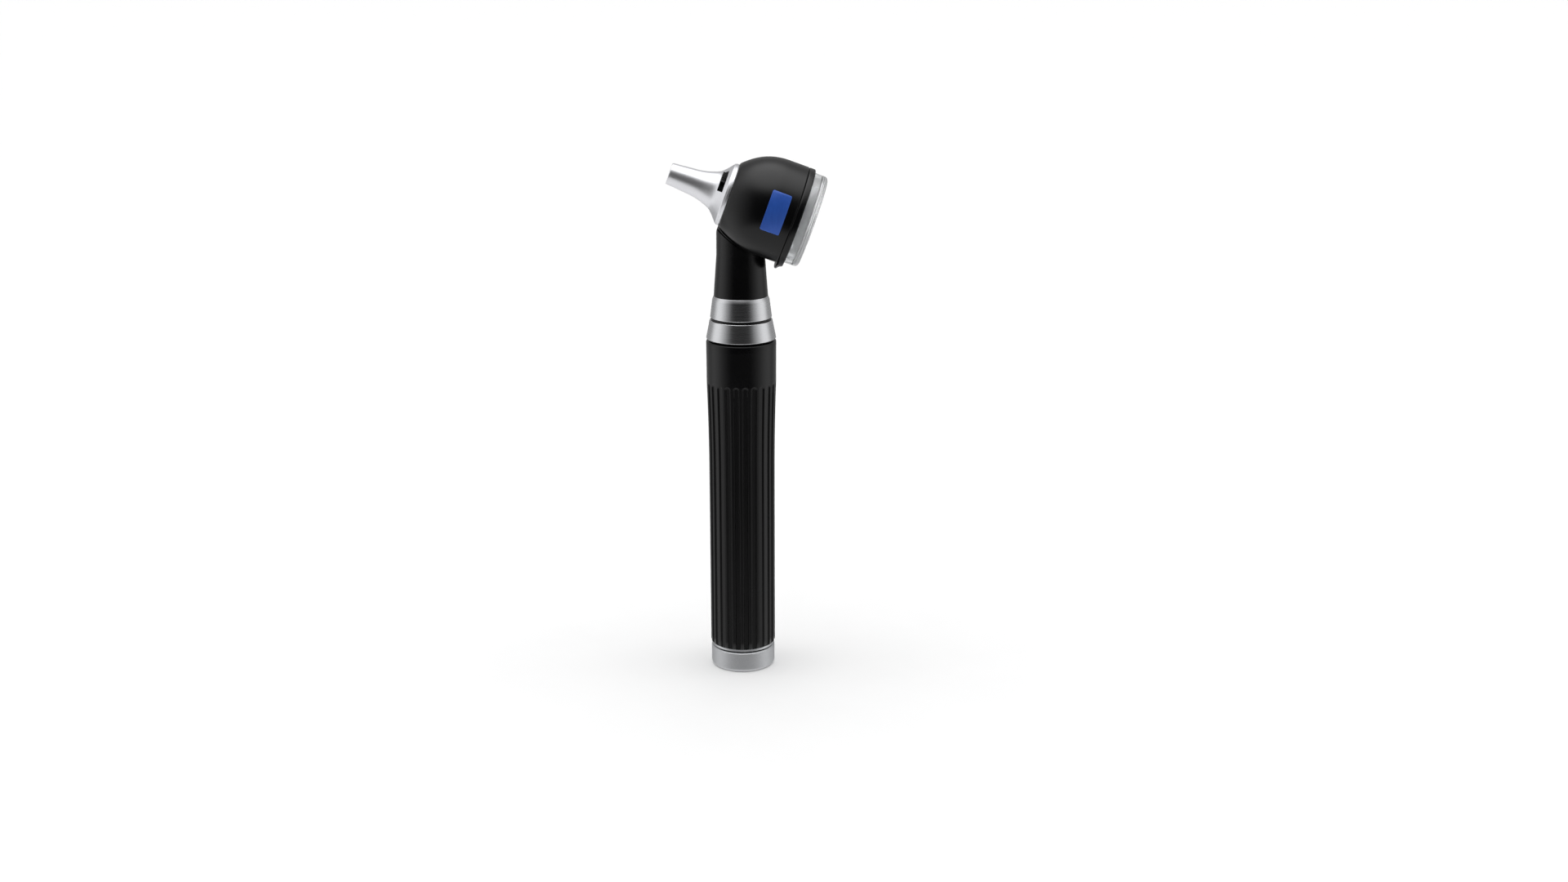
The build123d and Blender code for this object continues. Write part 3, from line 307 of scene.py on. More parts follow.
# Rings are wide apart on the straight flutes, close over their round tops and wide above.
STRAIGHT_RINGS, CLOSE_RINGS, CLOSE_STEP, CLOSE_ZONE, BAND_RINGS = 40, 27, 0.15, 3.5, 6

# Fine spark-eroded ABS: black, with a satin bloom from a grain that is just felt.
satin_abs, shader = surface("moulded_satin_abs", "#060607", Roughness=0.26, Specular_IOR_Level=0.32)
place = add(satin_abs, "TexCoord", {})
spark = add(satin_abs, "TexNoise", {"Vector": place.outputs["Object"], "Scale": 1 / (0.16 * MM), "Detail": 2.0})
cloud = add(satin_abs, "TexNoise", {"Vector": place.outputs["Object"], "Scale": 1 / (9.0 * MM), "Detail": 3.0})
tone = add(satin_abs, "ValToRGB", {"Fac": cloud.outputs["Fac"]})
tone.color_ramp.elements[0].color = linear("#050506")
tone.color_ramp.elements[1].color = linear("#08080a")
handled = add(satin_abs, "MapRange", {"Value": cloud.outputs["Fac"], "To Min": 0.22, "To Max": 0.3})
grain = add(satin_abs, "Bump", {"Height": spark.outputs["Fac"], "Strength": 0.35, "Distance": 0.012 * MM})
join(tone.outputs["Color"], shader.inputs["Base Color"])
join(handled.outputs["Result"], shader.inputs["Roughness"])
join(grain.outputs["Normal"], shader.inputs["Normal"])

grip_low, grip_high = [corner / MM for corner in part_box("grip_barrel")]
band_low = grip_high.z - BAND_HEIGHT
flute_top = band_low - FLUTE_WIDTH / 2


def smooth(low, high, value):
    """0 below low, 1 above high, and an even ease between."""
    share = min(1.0, max(0.0, (value - low) / (high - low)))
    return share * share * (3 - 2 * share)


def grip_radius(height):
    """The sleeve's radius over its ribs: straight, then a slow flare, then the band."""
    share = min(1.0, max(0.0, (height - band_low + FLARE_HEIGHT) / FLARE_HEIGHT))
    flare = GRIP_STRAIGHT_R + (GRIP_BAND_R - GRIP_STRAIGHT_R) * share ** 2
    band = min(1.0, max(0.0, (height - band_low) / BAND_HEIGHT))
    return flare + (grip_high.x - GRIP_BAND_R) * band


straight = band_low - CLOSE_ZONE - grip_low.z
grip_heights = [grip_low.z + GRIP_FOOT_EDGE + straight * k / STRAIGHT_RINGS for k in range(STRAIGHT_RINGS + 1)]
grip_heights += [grip_heights[-1] + CLOSE_STEP * k for k in range(1, CLOSE_RINGS + 1)]
above = grip_high.z - GRIP_EDGE - grip_heights[-1]
grip_heights += [grip_heights[-1] + above * k / BAND_RINGS for k in range(1, BAND_RINGS + 1)]
grip_levels = [(grip_low.z, GRIP_FOOT_EDGE)] + [(height, 0.0) for height in grip_heights]
grip_levels += [(grip_high.z - 0.3 * GRIP_EDGE, 0.3 * GRIP_EDGE), (grip_high.z, GRIP_EDGE)]
grip_rings = []
count = FLUTES * PER_FLUTE
for height, drawn_in in grip_levels:
    ring = []
    for k in range(count):
        across = (k % PER_FLUTE + 0.5) / PER_FLUTE - 0.5
        offset = across * 2 * pi * GRIP_STRAIGHT_R / FLUTES
        away = hypot(offset, max(0.0, height - flute_top)) - FLUTE_WIDTH / 2
        depth = FLUTE_DEPTH * (1 - smooth(-FLUTE_EDGE, FLUTE_EDGE, away))
        radius = grip_radius(height) - max(depth, drawn_in)
        angle = 2 * pi * (k + 0.5) / count
        ring.append(Vector((radius * cos(angle), radius * sin(angle), height)))
    grip_rings.append(ring)
grip_rings += turned([(GRIP_BORE_R, grip_high.z), (GRIP_BORE_R, grip_low.z)], count)
piece("grip_moulded", grip_rings, satin_abs, "handle", ["grip_barrel"])


# ---- Dimmer ring, its retainer and the head's collar ----
# Two bright rings turned from aluminium and clear anodised: the lower one turns to switch
# on and dim the lamp, the upper one belongs to the head. A thin black ring lies between.
DIMMER_TAPER, DIMMER_BEVEL, RING_EDGE, RING_BORE_R, RETAINER_ROUND = 1.2, 0.6, 0.25, 7.55, 0.08
COLLAR_CHAMFER, COLLAR_TOP_R, COLLAR_SHOULDER_R = 1.2, 8.9, 9.4
COLLAR_SPIGOT_R, COLLAR_SPIGOT_WALL, COLLAR_SPIGOT_LENGTH, COLLAR_BORE_R = 6.0, 1.0, 5.6, 7.35
TURNING_LINE, LINE_SWAY = 0.12, 50.0

# Turned and anodised aluminium: bright, with tool lines that stretch its shine sideways.
turned_aluminium, shader = surface("turned_anodised_aluminium", "#d8d9db", Metallic=1.0, Roughness=0.27)
place = add(turned_aluminium, "TexCoord", {})
stretch = add(turned_aluminium, "Mapping",
              {"Vector": place.outputs["Object"],
               "Scale": (1 / (LINE_SWAY * MM), 1 / (LINE_SWAY * MM), 1 / (TURNING_LINE * MM))})
lines = add(turned_aluminium, "TexNoise", {"Vector": stretch.outputs["Vector"], "Scale": 1.0, "Detail": 2.0})
tone = add(turned_aluminium, "ValToRGB", {"Fac": lines.outputs["Fac"]})
tone.color_ramp.elements[0].color = linear("#c9cacd")
tone.color_ramp.elements[1].color = linear("#e3e4e6")
polish = add(turned_aluminium, "MapRange", {"Value": lines.outputs["Fac"], "To Min": 0.2, "To Max": 0.34})
cuts = add(turned_aluminium, "Bump", {"Height": lines.outputs["Fac"], "Strength": 0.35, "Distance": 0.01 * MM})
join(tone.outputs["Color"], shader.inputs["Base Color"])
join(polish.outputs["Result"], shader.inputs["Roughness"])
join(cuts.outputs["Normal"], shader.inputs["Normal"])

dimmer_low, dimmer_high = [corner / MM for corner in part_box("dimmer_ring")]
dimmer_outline = rounded([(RING_BORE_R, dimmer_low.z, 0), (dimmer_high.x - DIMMER_BEVEL, dimmer_low.z, 0.1),
                          (dimmer_high.x, dimmer_low.z + DIMMER_BEVEL, 0.2),
                          (dimmer_high.x - DIMMER_TAPER, dimmer_high.z, RING_EDGE),
                          (RING_BORE_R, dimmer_high.z, 0)])
piece("dimmer_ring_turned", turned(dimmer_outline, 192), turned_aluminium, "dimmer",
      ["dimmer_ring"])

retainer_low, retainer_high = [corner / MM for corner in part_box("dimmer_retainer")]
retainer = rounded([(RING_BORE_R, retainer_low.z, 0), (retainer_high.x, retainer_low.z, RETAINER_ROUND),
                    (retainer_high.x, retainer_high.z, RETAINER_ROUND), (RING_BORE_R, retainer_high.z, 0)])
piece("dimmer_retainer_pressed", turned(retainer), satin_abs, "handle", ["dimmer_retainer"])

collar_low, collar_high = [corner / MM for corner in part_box("head_collar")]
collar_top = collar_high.z - COLLAR_SPIGOT_LENGTH
spigot_bore_r = COLLAR_SPIGOT_R - COLLAR_SPIGOT_WALL
collar_outline = rounded([(spigot_bore_r, collar_high.z, 0), (COLLAR_SPIGOT_R, collar_high.z, 0),
                          (COLLAR_SPIGOT_R, collar_top, 0), (COLLAR_TOP_R, collar_top, 0.15),
                          (COLLAR_SHOULDER_R, collar_top - COLLAR_CHAMFER, 0.3),
                          (collar_high.x, collar_low.z, RING_EDGE), (COLLAR_BORE_R, collar_low.z, 0),
                          (COLLAR_BORE_R, collar_top - COLLAR_CHAMFER, 0),
                          (spigot_bore_r, collar_top - COLLAR_CHAMFER, 0)])
piece("head_collar_turned", turned(collar_outline, 192), turned_aluminium, "head",
      ["head_collar"])


# ---- Neck ----
# Moulded in the same black ABS as the head and screwed to the collar from below. It keeps
# its CAD shape, with the fine groove where it meets the head.
dress(satin_abs, "neck_shell")


# ---- Head ----
# A hollow ABS housing on the sight line, domed at the front and open at the rear, with a
# softly flattened underside, a groove for its seal and a boss for the lens's pivot.
HEAD_FRONT_R, HEAD_CHIN, HEAD_DOME_AT = 10.7, 14.2, 11.0
HEAD_FRONT, HEAD_REAR, HEAD_WALL, FRONT_WALL = -3.85, 17.55, 1.6, 1.8
CHIN_SOFTNESS, FERRULE_R, HEAD_BREAK, DOME_START = 1.6, 4.6, 0.3, 0.35
DOME_STEPS, CAVITY_STEPS = 28, 10
GROOVE_IN, GROOVE_WIDTH, GROOVE_DEPTH = 0.5, 0.7, 0.75
PIVOT_BOSS_R, PIVOT_BORE_R, PIVOT_BOSS_LENGTH = 2.4, 0.95, 7.25

# The sight frame comes from the lock's joint: its axis points at the eye, and its place
# lies on the sight line, which crosses the handle's axis.
lock_joint = next(joint for joint in frame["joints"] if joint["name"] == "speculum_lock_turn")
lens_joint = next(joint for joint in frame["joints"] if joint["name"] == "lens_swing")
eye_way = Vector(lock_joint["axis"]).normalized()
near_way = Vector((0, -1, 0))
up_way = near_way.cross(eye_way)
on_line = Vector(lock_joint["pos_m"])
centre = on_line - eye_way * (on_line.x / eye_way.x)
sight = Matrix((up_way, near_way, eye_way)).transposed().to_4x4()
sight.translation = centre
pivot_up = (sight.inverted() @ Vector(lens_joint["pos_m"])).x / MM


def sight_box(name):
    """Lowest and highest corners of a CAD node in the sight frame, in millimetres."""
    back = sight.inverted()
    points = [back @ vertex.co for vertex in nodes[name].data.vertices]
    low = Vector(min(p[k] for p in points) for k in range(3))
    high = Vector(max(p[k] for p in points) for k in range(3))
    return low / MM, high / MM


def bend(points, share):
    """A point on a cubic curve with four control points."""
    rest = 1 - share
    weights = (rest ** 3, 3 * rest * rest * share, 3 * rest * share * share, share ** 3)
    return Vector(sum(w * p[k] for w, p in zip(weights, points)) for k in range(2))


def reach(points, height):
    """The curve's radius at a height, found by halving."""
    low, high = 0.0, 1.0
    for _ in range(30):
        middle = (low + high) / 2
        low, high = (middle, high) if bend(points, middle)[1] < height else (low, middle)
    return bend(points, low)[0]


def chinned(radius, chin, softness, height, count=192):
    """A ring in the sight frame: round, but flattened underneath with soft corners."""
    ring = []
    for k in range(count):
        angle = 2 * pi * k / count
        out = radius
        if cos(angle) < -0.01:
            flat = chin / -cos(angle)
            share = min(1.0, max(0.0, 0.5 + 0.5 * (flat - radius) / softness))
            out = flat + (radius - flat) * share - softness * share * (1 - share)
        ring.append(Vector((out * cos(angle), out * sin(angle), height)))
    return ring


head_r = sight_box("lens_frame")[1].y
dome = [(HEAD_FRONT_R, HEAD_FRONT), (HEAD_FRONT_R + 3.1, HEAD_FRONT + 3.25), (head_r, HEAD_FRONT + 7.45),
        (head_r, HEAD_DOME_AT)]
front_chin = HEAD_FRONT_R + 0.2
chin = [(front_chin, HEAD_FRONT), (front_chin + 1.5, HEAD_FRONT + 4.85), (HEAD_CHIN, HEAD_FRONT + 9.35),
        (HEAD_CHIN, HEAD_DOME_AT)]


def head_ring(height, inset):
    """One ring of the head's wall, drawn in by inset."""
    station = min(height, HEAD_DOME_AT)
    return chinned(reach(dome, station) - inset, reach(chin, station) - inset, CHIN_SOFTNESS, height)


cavity_front = HEAD_FRONT + FRONT_WALL
dome_length, cavity_length = HEAD_DOME_AT - HEAD_FRONT - DOME_START, cavity_front - HEAD_DOME_AT
outer_heights = [HEAD_FRONT + DOME_START + dome_length * (k / DOME_STEPS) for k in range(DOME_STEPS + 1)]
inner_heights = [HEAD_DOME_AT + cavity_length * k / CAVITY_STEPS for k in range(CAVITY_STEPS + 1)]
head_rings = [head_ring(HEAD_FRONT, HEAD_BREAK), head_ring(HEAD_FRONT + HEAD_BREAK / 3, 0.4 * HEAD_BREAK)]
head_rings += [head_ring(height, 0.0) for height in outer_heights]
head_rings += [head_ring(HEAD_REAR - HEAD_BREAK, 0.0),
               head_ring(HEAD_REAR - 0.3 * HEAD_BREAK, 0.3 * HEAD_BREAK), head_ring(HEAD_REAR, HEAD_BREAK)]
groove_out = GROOVE_IN + GROOVE_WIDTH
head_rings += [head_ring(HEAD_REAR, GROOVE_IN), head_ring(HEAD_REAR - GROOVE_DEPTH, GROOVE_IN),
               head_ring(HEAD_REAR - GROOVE_DEPTH, groove_out), head_ring(HEAD_REAR, groove_out),
               head_ring(HEAD_REAR, HEAD_WALL - 0.1)]
head_rings += [head_ring(height, HEAD_WALL) for height in [HEAD_REAR - 0.1] + inner_heights]
head_rings += turned([(FERRULE_R, cavity_front), (FERRULE_R, HEAD_FRONT)], 192)
piece("head_moulded", head_rings, satin_abs, "head", ["head_shell"], sight)

boss_front, boss_rear = HEAD_REAR - PIVOT_BOSS_LENGTH, HEAD_REAR - 0.05
boss = rounded([(PIVOT_BORE_R, boss_front, 0), (PIVOT_BOSS_R, boss_front, 0.3), (PIVOT_BOSS_R, boss_rear, 0),
                (PIVOT_BORE_R, boss_rear, 0)])
piece("pivot_boss_moulded", turned(boss, 48), satin_abs, "head",
      place=sight @ Matrix.Translation((pivot_up * MM, 0, 0)))


# ---- Side inlay ----
# A small plate of blue anodised aluminium, left plain, let into the near side of the head.
LABEL_EDGE, LABEL_CORNER, LABEL_THICK, LABEL_STEPS = 0.12, 0.6, 0.33, 48
BRUSH_WIDTH, BRUSH_LENGTH = 0.4, 25 / 3


def closed_block(name, rings, place):
    """A closed mesh from open rings, with a face at each end."""
    mesh = bmesh.new()
    rows = [[mesh.verts.new(place @ (point * MM)) for point in ring] for ring in rings]
    for low, high in zip(rows, rows[1:]):
        for k in range(len(low)):
            after = (k + 1) % len(low)
            mesh.faces.new((low[k], low[after], high[after], high[k]))
    mesh.faces.new(rows[0])
    mesh.faces.new(rows[-1])
    cleaned(mesh)
    data = bpy.data.meshes.new(name)
    mesh.to_mesh(data)
    mesh.free()
    made = bpy.data.objects.new(name, data)
    bpy.context.scene.collection.objects.link(made)
    return made


# Blue anodised aluminium: deep, even colour with a soft metal glint along its grain.
blue_inlay, shader = surface("blue_anodised_inlay", "#2450a8", Metallic=0.2, Roughness=0.38)
place = add(blue_inlay, "TexCoord", {})
stretch = add(blue_inlay, "Mapping", {"Vector": place.outputs["Object"],
               "Scale": (1 / (BRUSH_WIDTH * MM), 1 / (BRUSH_WIDTH * MM), 1 / (BRUSH_LENGTH * MM))})
brushed = add(blue_inlay, "TexNoise", {"Vector": stretch.outputs["Vector"], "Scale": 1.0, "Detail": 3.0})
tone = add(blue_inlay, "ValToRGB", {"Fac": brushed.outputs["Fac"]})
tone.color_ramp.elements[0].color = linear("#1f4aa2")
tone.color_ramp.elements[1].color = linear("#2a5ab6")
join(tone.outputs["Color"], shader.inputs["Base Color"])

label_low, label_high = sight_box("side_label")
label_r = max(hypot(*(sight.inverted() @ v.co)[:2]) for v in nodes["side_label"].data.vertices) / MM
label_rings = []
for step in range(LABEL_STEPS + 1):
    up = label_low.x + (label_high.x - label_low.x) * (0.5 - 0.5 * cos(pi * step / LABEL_STEPS))
    to_end = min(up - label_low.x, label_high.x - up)
    corner = LABEL_CORNER - min(to_end, LABEL_CORNER)
    inset = LABEL_CORNER - sqrt(LABEL_CORNER ** 2 - corner ** 2)
    fall = LABEL_EDGE * (1 - smooth(0.0, LABEL_EDGE, to_end))
    start, end = label_low.z + inset, label_high.z - inset
    bevel = LABEL_EDGE / 3
    section = [(start, -LABEL_THICK), (start, -LABEL_EDGE), (start + bevel, -bevel), (start + LABEL_EDGE, 0.0),
               (end - LABEL_EDGE, 0.0), (end - bevel, -bevel), (end, -LABEL_EDGE), (end, -LABEL_THICK)]
    label_rings.append([Vector((up, sqrt((label_r + rise - fall) ** 2 - up ** 2), z)) for z, rise in section])
label = closed_block("side_inlay_plate", label_rings, sight)
label.data.materials.append(blue_inlay)
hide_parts("side_label")
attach(label, "head")


# ---- Nose flange and nose cone ----
# A plate and a trumpet-shaped cone, both turned from aluminium and satin anodised. Specula
# push on to the bare cone. The slot near its foot is milled through for the lock's knob.
NOSE_STATIONS = [(0.0, 0.0), (0.38, 4.2), (0.95, 9.6), (1.8, 13.0)]
NOSE_TIP_R, NOSE_BORE_R, NOSE_TIP_ROUND = 3.5, 2.95, 0.3
LOCK_ROOM_R, LOCK_FROM_TIP, NOSE_FOOT_EDGE = 5.45, 15.85, 0.25
NOSE_LOCK_R, NOSE_FOOT_R = 6.6, 10.15
SLOT_START, SLOT_END, SLOT_WIDTH, SLOT_FROM_TIP = 8.0, 66.0, 1.7, 17.0
CUTTER_OVERSHOOT, CUTTER_R, NOSE_LINE = 0.4, 14, 0.15

# Satin anodised aluminium: white metal, its highlights drawn out along the turning lines.
satin_aluminium, shader = surface("satin_anodised_aluminium", "#e6e7ea", Metallic=0.88, Roughness=0.34)
place = add(satin_aluminium, "TexCoord", {})
along_sight = add(satin_aluminium, "VectorMath", {0: place.outputs["Object"], 1: tuple(eye_way)},
                  operation="DOT_PRODUCT")
spin = add(satin_aluminium, "TexNoise",
           {"W": along_sight.outputs["Value"], "Scale": 1 / (NOSE_LINE * MM), "Detail": 2.0},
           noise_dimensions="1D")
tone = add(satin_aluminium, "ValToRGB", {"Fac": spin.outputs["Fac"]})
tone.color_ramp.elements[0].color = linear("#dedfe3")
tone.color_ramp.elements[1].color = linear("#f0f0f3")
polish = add(satin_aluminium, "MapRange", {"Value": spin.outputs["Fac"], "To Min": 0.3, "To Max": 0.4})
cuts = add(satin_aluminium, "Bump", {"Height": spin.outputs["Fac"], "Strength": 0.25, "Distance": 0.008 * MM})
join(tone.outputs["Color"], shader.inputs["Base Color"])
join(polish.outputs["Result"], shader.inputs["Roughness"])
join(cuts.outputs["Normal"], shader.inputs["Normal"])

flange_low, flange_high = sight_box("nose_flange")
flange = rounded([(FERRULE_R, flange_low.z, 0), (flange_high.y, flange_low.z, 0.2),
                  (flange_high.y, flange_high.z, 0.15), (FERRULE_R, flange_high.z, 0)])
piece("nose_flange_turned", turned(flange, 160), satin_aluminium, "head", ["nose_flange"], sight)

nose_low, nose_high = sight_box("nose_cone")
nose_tip, nose_rear = nose_low.z, nose_high.z
stations = [(NOSE_TIP_R + grown, nose_tip + way) for grown, way in NOSE_STATIONS]
stations += [(NOSE_LOCK_R, nose_tip + LOCK_FROM_TIP), (NOSE_FOOT_R, nose_rear - NOSE_FOOT_EDGE)]


def smooth_line(points, steps):
    """Points on a smooth line through the stations, spaced by its chords."""
    line = []
    ends = [Vector(p) for p in points]
    ends = [2 * ends[0] - ends[1]] + ends + [2 * ends[-1] - ends[-2]]
    for before, start, end, after in zip(ends, ends[1:], ends[2:], ends[3:]):
        first = (end - before) / ((end - start).length + (start - before).length) * (end - start).length
        last = (after - start) / ((after - end).length + (end - start).length) * (end - start).length
        for step in range(steps):
            t = step / steps
            line.append(start * (2 * t ** 3 - 3 * t ** 2 + 1) + first * (t ** 3 - 2 * t ** 2 + t)
                        + end * (3 * t ** 2 - 2 * t ** 3) + last * (t ** 3 - t ** 2))
    return line + [Vector(points[-1])]


cone = [p for p in smooth_line(stations, 8) if p[1] > nose_tip + NOSE_TIP_ROUND + 0.05]
tip = rounded([(NOSE_BORE_R, nose_tip, 0.08), (NOSE_TIP_R, nose_tip, NOSE_TIP_ROUND),
               tuple(cone[0]) + (0,)])[:-1]
cone_outline = tip + cone + [(NOSE_FOOT_R, nose_rear), (LOCK_ROOM_R, nose_rear),
                             (LOCK_ROOM_R, nose_tip + LOCK_FROM_TIP), (NOSE_BORE_R, nose_tip + LOCK_FROM_TIP)]
nose = piece("nose_cone_turned", turned(cone_outline, 192), satin_aluminium, "head",
             ["nose_cone"], sight)


def sector(inner, outer, low, high, start, end, steps):
    """Rings of points across a block that is bent round the sight line."""
    rings = []
    for step in range(steps + 1):
        angle = radians(start + (end - start) * step / steps)
        way = Vector((cos(angle), sin(angle), 0))
        corners = ((inner, low), (outer, low), (outer, high), (inner, high))
        rings.append([way * r + Vector((0, 0, z)) for r, z in corners])
    return rings


slot_at = nose_tip + SLOT_FROM_TIP
slot_form = sector(LOCK_ROOM_R - CUTTER_OVERSHOOT, CUTTER_R, slot_at - SLOT_WIDTH / 2, slot_at + SLOT_WIDTH / 2,
                   90 - SLOT_END, 90 - SLOT_START, 24)
cutter = closed_block("slot_cutter", slot_form, sight)
milled = nose.modifiers.new("milled_slot", "BOOLEAN")
milled.operation, milled.solver, milled.object = "DIFFERENCE", "EXACT", cutter
bpy.context.view_layer.update()
cut = bpy.data.meshes.new_from_object(nose.evaluated_get(bpy.context.evaluated_depsgraph_get()))
nose.modifiers.clear()
mesh = bmesh.new()
mesh.from_mesh(cut)
cleaned(mesh)
mesh.to_mesh(nose.data)
mesh.free()
bpy.data.objects.remove(cutter)
nose.modifiers.new("even_normals", "WEIGHTED_NORMAL").keep_sharp = True


# ---- Lock knob ----
# The black finger piece of the speculum lock, moulded on to the lock ring, with five
# grooves across its top so that a fingertip can push it along the slot.
KNOB_ARC, KNOB_END_GAP, KNOB_RIDGES, RIDGE_DEPTH, KNOB_EDGE = 32.0, 1.0, 6, 0.25, 0.15
KNOB_STEPS, KNOB_BREAK_DOWN, KNOB_BREAK_IN = 72, 0.04, 0.05
knob_low, knob_high = sight_box("lock_knob")
knob_r = max(hypot(*(sight.inverted() @ v.co)[:2]) for v in nodes["lock_knob"].data.vertices) / MM
knob_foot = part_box("lock_ring")[1].y / MM
knob_start = 90 - SLOT_END + KNOB_END_GAP
knob_rings = []
for step in range(KNOB_STEPS + 1):
    share = step / KNOB_STEPS
    angle = radians(knob_start + KNOB_ARC * share)
    near_groove = abs((share * KNOB_RIDGES + 0.5) % 1 - 0.5) * radians(KNOB_ARC / KNOB_RIDGES) * knob_r
    groove = max(0.0, RIDGE_DEPTH - near_groove) if 0.5 < share * KNOB_RIDGES < KNOB_RIDGES - 0.5 else 0.0
    end_fall = KNOB_EDGE * (1 - smooth(0.0, 0.03, min(share, 1 - share)))
    top = knob_r - groove - end_fall
    way = Vector((cos(angle), sin(angle), 0))
    first, last = knob_low.z, knob_high.z
    profile = [(knob_foot, first), (top - KNOB_EDGE, first), (top - KNOB_BREAK_DOWN, first + KNOB_BREAK_IN),
               (top, first + KNOB_EDGE), (top, last - KNOB_EDGE), (top - KNOB_BREAK_DOWN, last - KNOB_BREAK_IN),
               (top - KNOB_EDGE, last), (knob_foot, last)]
    knob_rings.append([way * r + Vector((0, 0, z)) for r, z in profile])
knob = closed_block("lock_knob_moulded", knob_rings, sight)
knob.data.materials.append(satin_abs)
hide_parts("lock_knob")
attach(knob, "speculum_lock")


# ---- Swinging lens ----
# A black ABS rim on the pivot pin, a clear moulded ring cemented to it and a clear acrylic
# magnifier with a rounded rear edge. All three swing aside together, pushed at the rim's lip.
FRAME_OPENING_R, FRAME_EDGE, LENS_EDGE_ROUND, LENS_CHIN, LENS_SOFTNESS = 12.0, 0.35, 1.2, 13.7, 2.6
LENS_BULGE, BULGE_STEPS, EDGE_STEPS, LENS_BREAK = 2.0, 12, 6, 0.15
LIP_THICK, LIP_HEIGHT, LIP_SOFTNESS, FLOW_WIDTH = 0.7, 2.3, 0.8, 4.0

# Clear acrylic: water-clear, with faint moulding flow lines that bend what lies behind.
clear_acrylic, shader = surface("clear_moulded_acrylic", "#fafcfd", Roughness=0.05, IOR=1.49,
                                Transmission_Weight=0.82)
place = add(clear_acrylic, "TexCoord", {})
flow = add(clear_acrylic, "TexNoise",
           {"Vector": place.outputs["Object"], "Scale": 1 / (FLOW_WIDTH * MM), "Detail": 1.0})
ripple = add(clear_acrylic, "Bump", {"Height": flow.outputs["Fac"], "Strength": 0.12, "Distance": 0.05 * MM})
haze = add(clear_acrylic, "MapRange", {"Value": flow.outputs["Fac"], "To Min": 0.02, "To Max": 0.09})
join(ripple.outputs["Normal"], shader.inputs["Normal"])
join(haze.outputs["Result"], shader.inputs["Roughness"])

rim_low, rim_high = sight_box("lens_frame")
rim_r, rim_flat = rim_high.y, rim_high.y - LIP_HEIGHT
rim_rings = turned([(FRAME_OPENING_R, rim_high.z - LENS_BREAK), (FRAME_OPENING_R, rim_low.z + LENS_BREAK),
                    (FRAME_OPENING_R + LENS_BREAK, rim_low.z), (rim_r - FRAME_EDGE, rim_low.z),
                    (rim_r - FRAME_EDGE / 3, rim_low.z + FRAME_EDGE / 3), (rim_r, rim_low.z + FRAME_EDGE)], 192)
rim_rings += [chinned(rim_r, rim_r - 0.05, LIP_SOFTNESS, rim_low.z + LIP_THICK),
              chinned(rim_r, rim_flat + FRAME_EDGE / 2, LIP_SOFTNESS, rim_high.z - FRAME_EDGE),
              chinned(rim_r - FRAME_EDGE / 3, rim_flat, LIP_SOFTNESS, rim_high.z - FRAME_EDGE / 3),
              chinned(rim_r - FRAME_EDGE, rim_flat - FRAME_EDGE / 2, LIP_SOFTNESS, rim_high.z)]
rim_rings += turned([(FRAME_OPENING_R + LENS_BREAK, rim_high.z)], 192)
piece("lens_rim_moulded", rim_rings, satin_abs, "lens", ["lens_frame"], sight)

ring_low, ring_high = sight_box("lens_ring")
lens_r = ring_high.y
ring_rings = [chinned(lens_r - LENS_BREAK, LENS_CHIN - LENS_BREAK, LENS_SOFTNESS, ring_low.z),
              chinned(lens_r, LENS_CHIN, LENS_SOFTNESS, ring_low.z + LENS_BREAK),
              chinned(lens_r, LENS_CHIN, LENS_SOFTNESS, ring_high.z - LENS_BREAK),
              chinned(lens_r - LENS_BREAK, LENS_CHIN - LENS_BREAK, LENS_SOFTNESS, ring_high.z)]
ring_rings += turned([(FRAME_OPENING_R, ring_high.z), (FRAME_OPENING_R, ring_low.z)], 192)
piece("lens_ring_moulded", ring_rings, clear_acrylic, "lens", ["lens_ring"], sight)

lens_high = sight_box("viewing_lens")[1]
plate_front = ring_high.z
bulge_r = FRAME_OPENING_R - 0.1
ball_r = (bulge_r ** 2 + LENS_BULGE ** 2) / (2 * LENS_BULGE)
bulge = []
for k in range(BULGE_STEPS + 1):
    out = bulge_r * k / BULGE_STEPS
    bulge.append((out, plate_front - LENS_BULGE + ball_r - sqrt(ball_r ** 2 - out ** 2)))
lens_rings = turned(bulge, 192)
lens_rings += [chinned(lens_r - LENS_BREAK, LENS_CHIN - LENS_BREAK, LENS_SOFTNESS, plate_front),
               chinned(lens_r, LENS_CHIN, LENS_SOFTNESS, plate_front + LENS_BREAK)]
for step in range(EDGE_STEPS + 1):
    turn = pi / 2 * step / EDGE_STEPS
    inset, fall = LENS_EDGE_ROUND * (1 - cos(turn)), LENS_EDGE_ROUND * (1 - sin(turn))
    lens_rings.append(chinned(lens_r - inset, LENS_CHIN - inset, LENS_SOFTNESS, lens_high.z - fall))
lens_rings += turned([(bulge_r * 0.8, lens_high.z), (0, lens_high.z)], 192)
piece("viewing_lens_moulded", lens_rings, clear_acrylic, "lens", ["viewing_lens"], sight)


# ---- Table and light ----
# A white laminate table inside a light tent. The tent is bright at both sides, overhead and
# low down, dark in front at the level of the object, and dimmer behind. Reflections leave
# the table out, as the tent's floor already lights the object from below.
TABLE_HALF, FIBRE_LENGTH = 20.0, 25.0
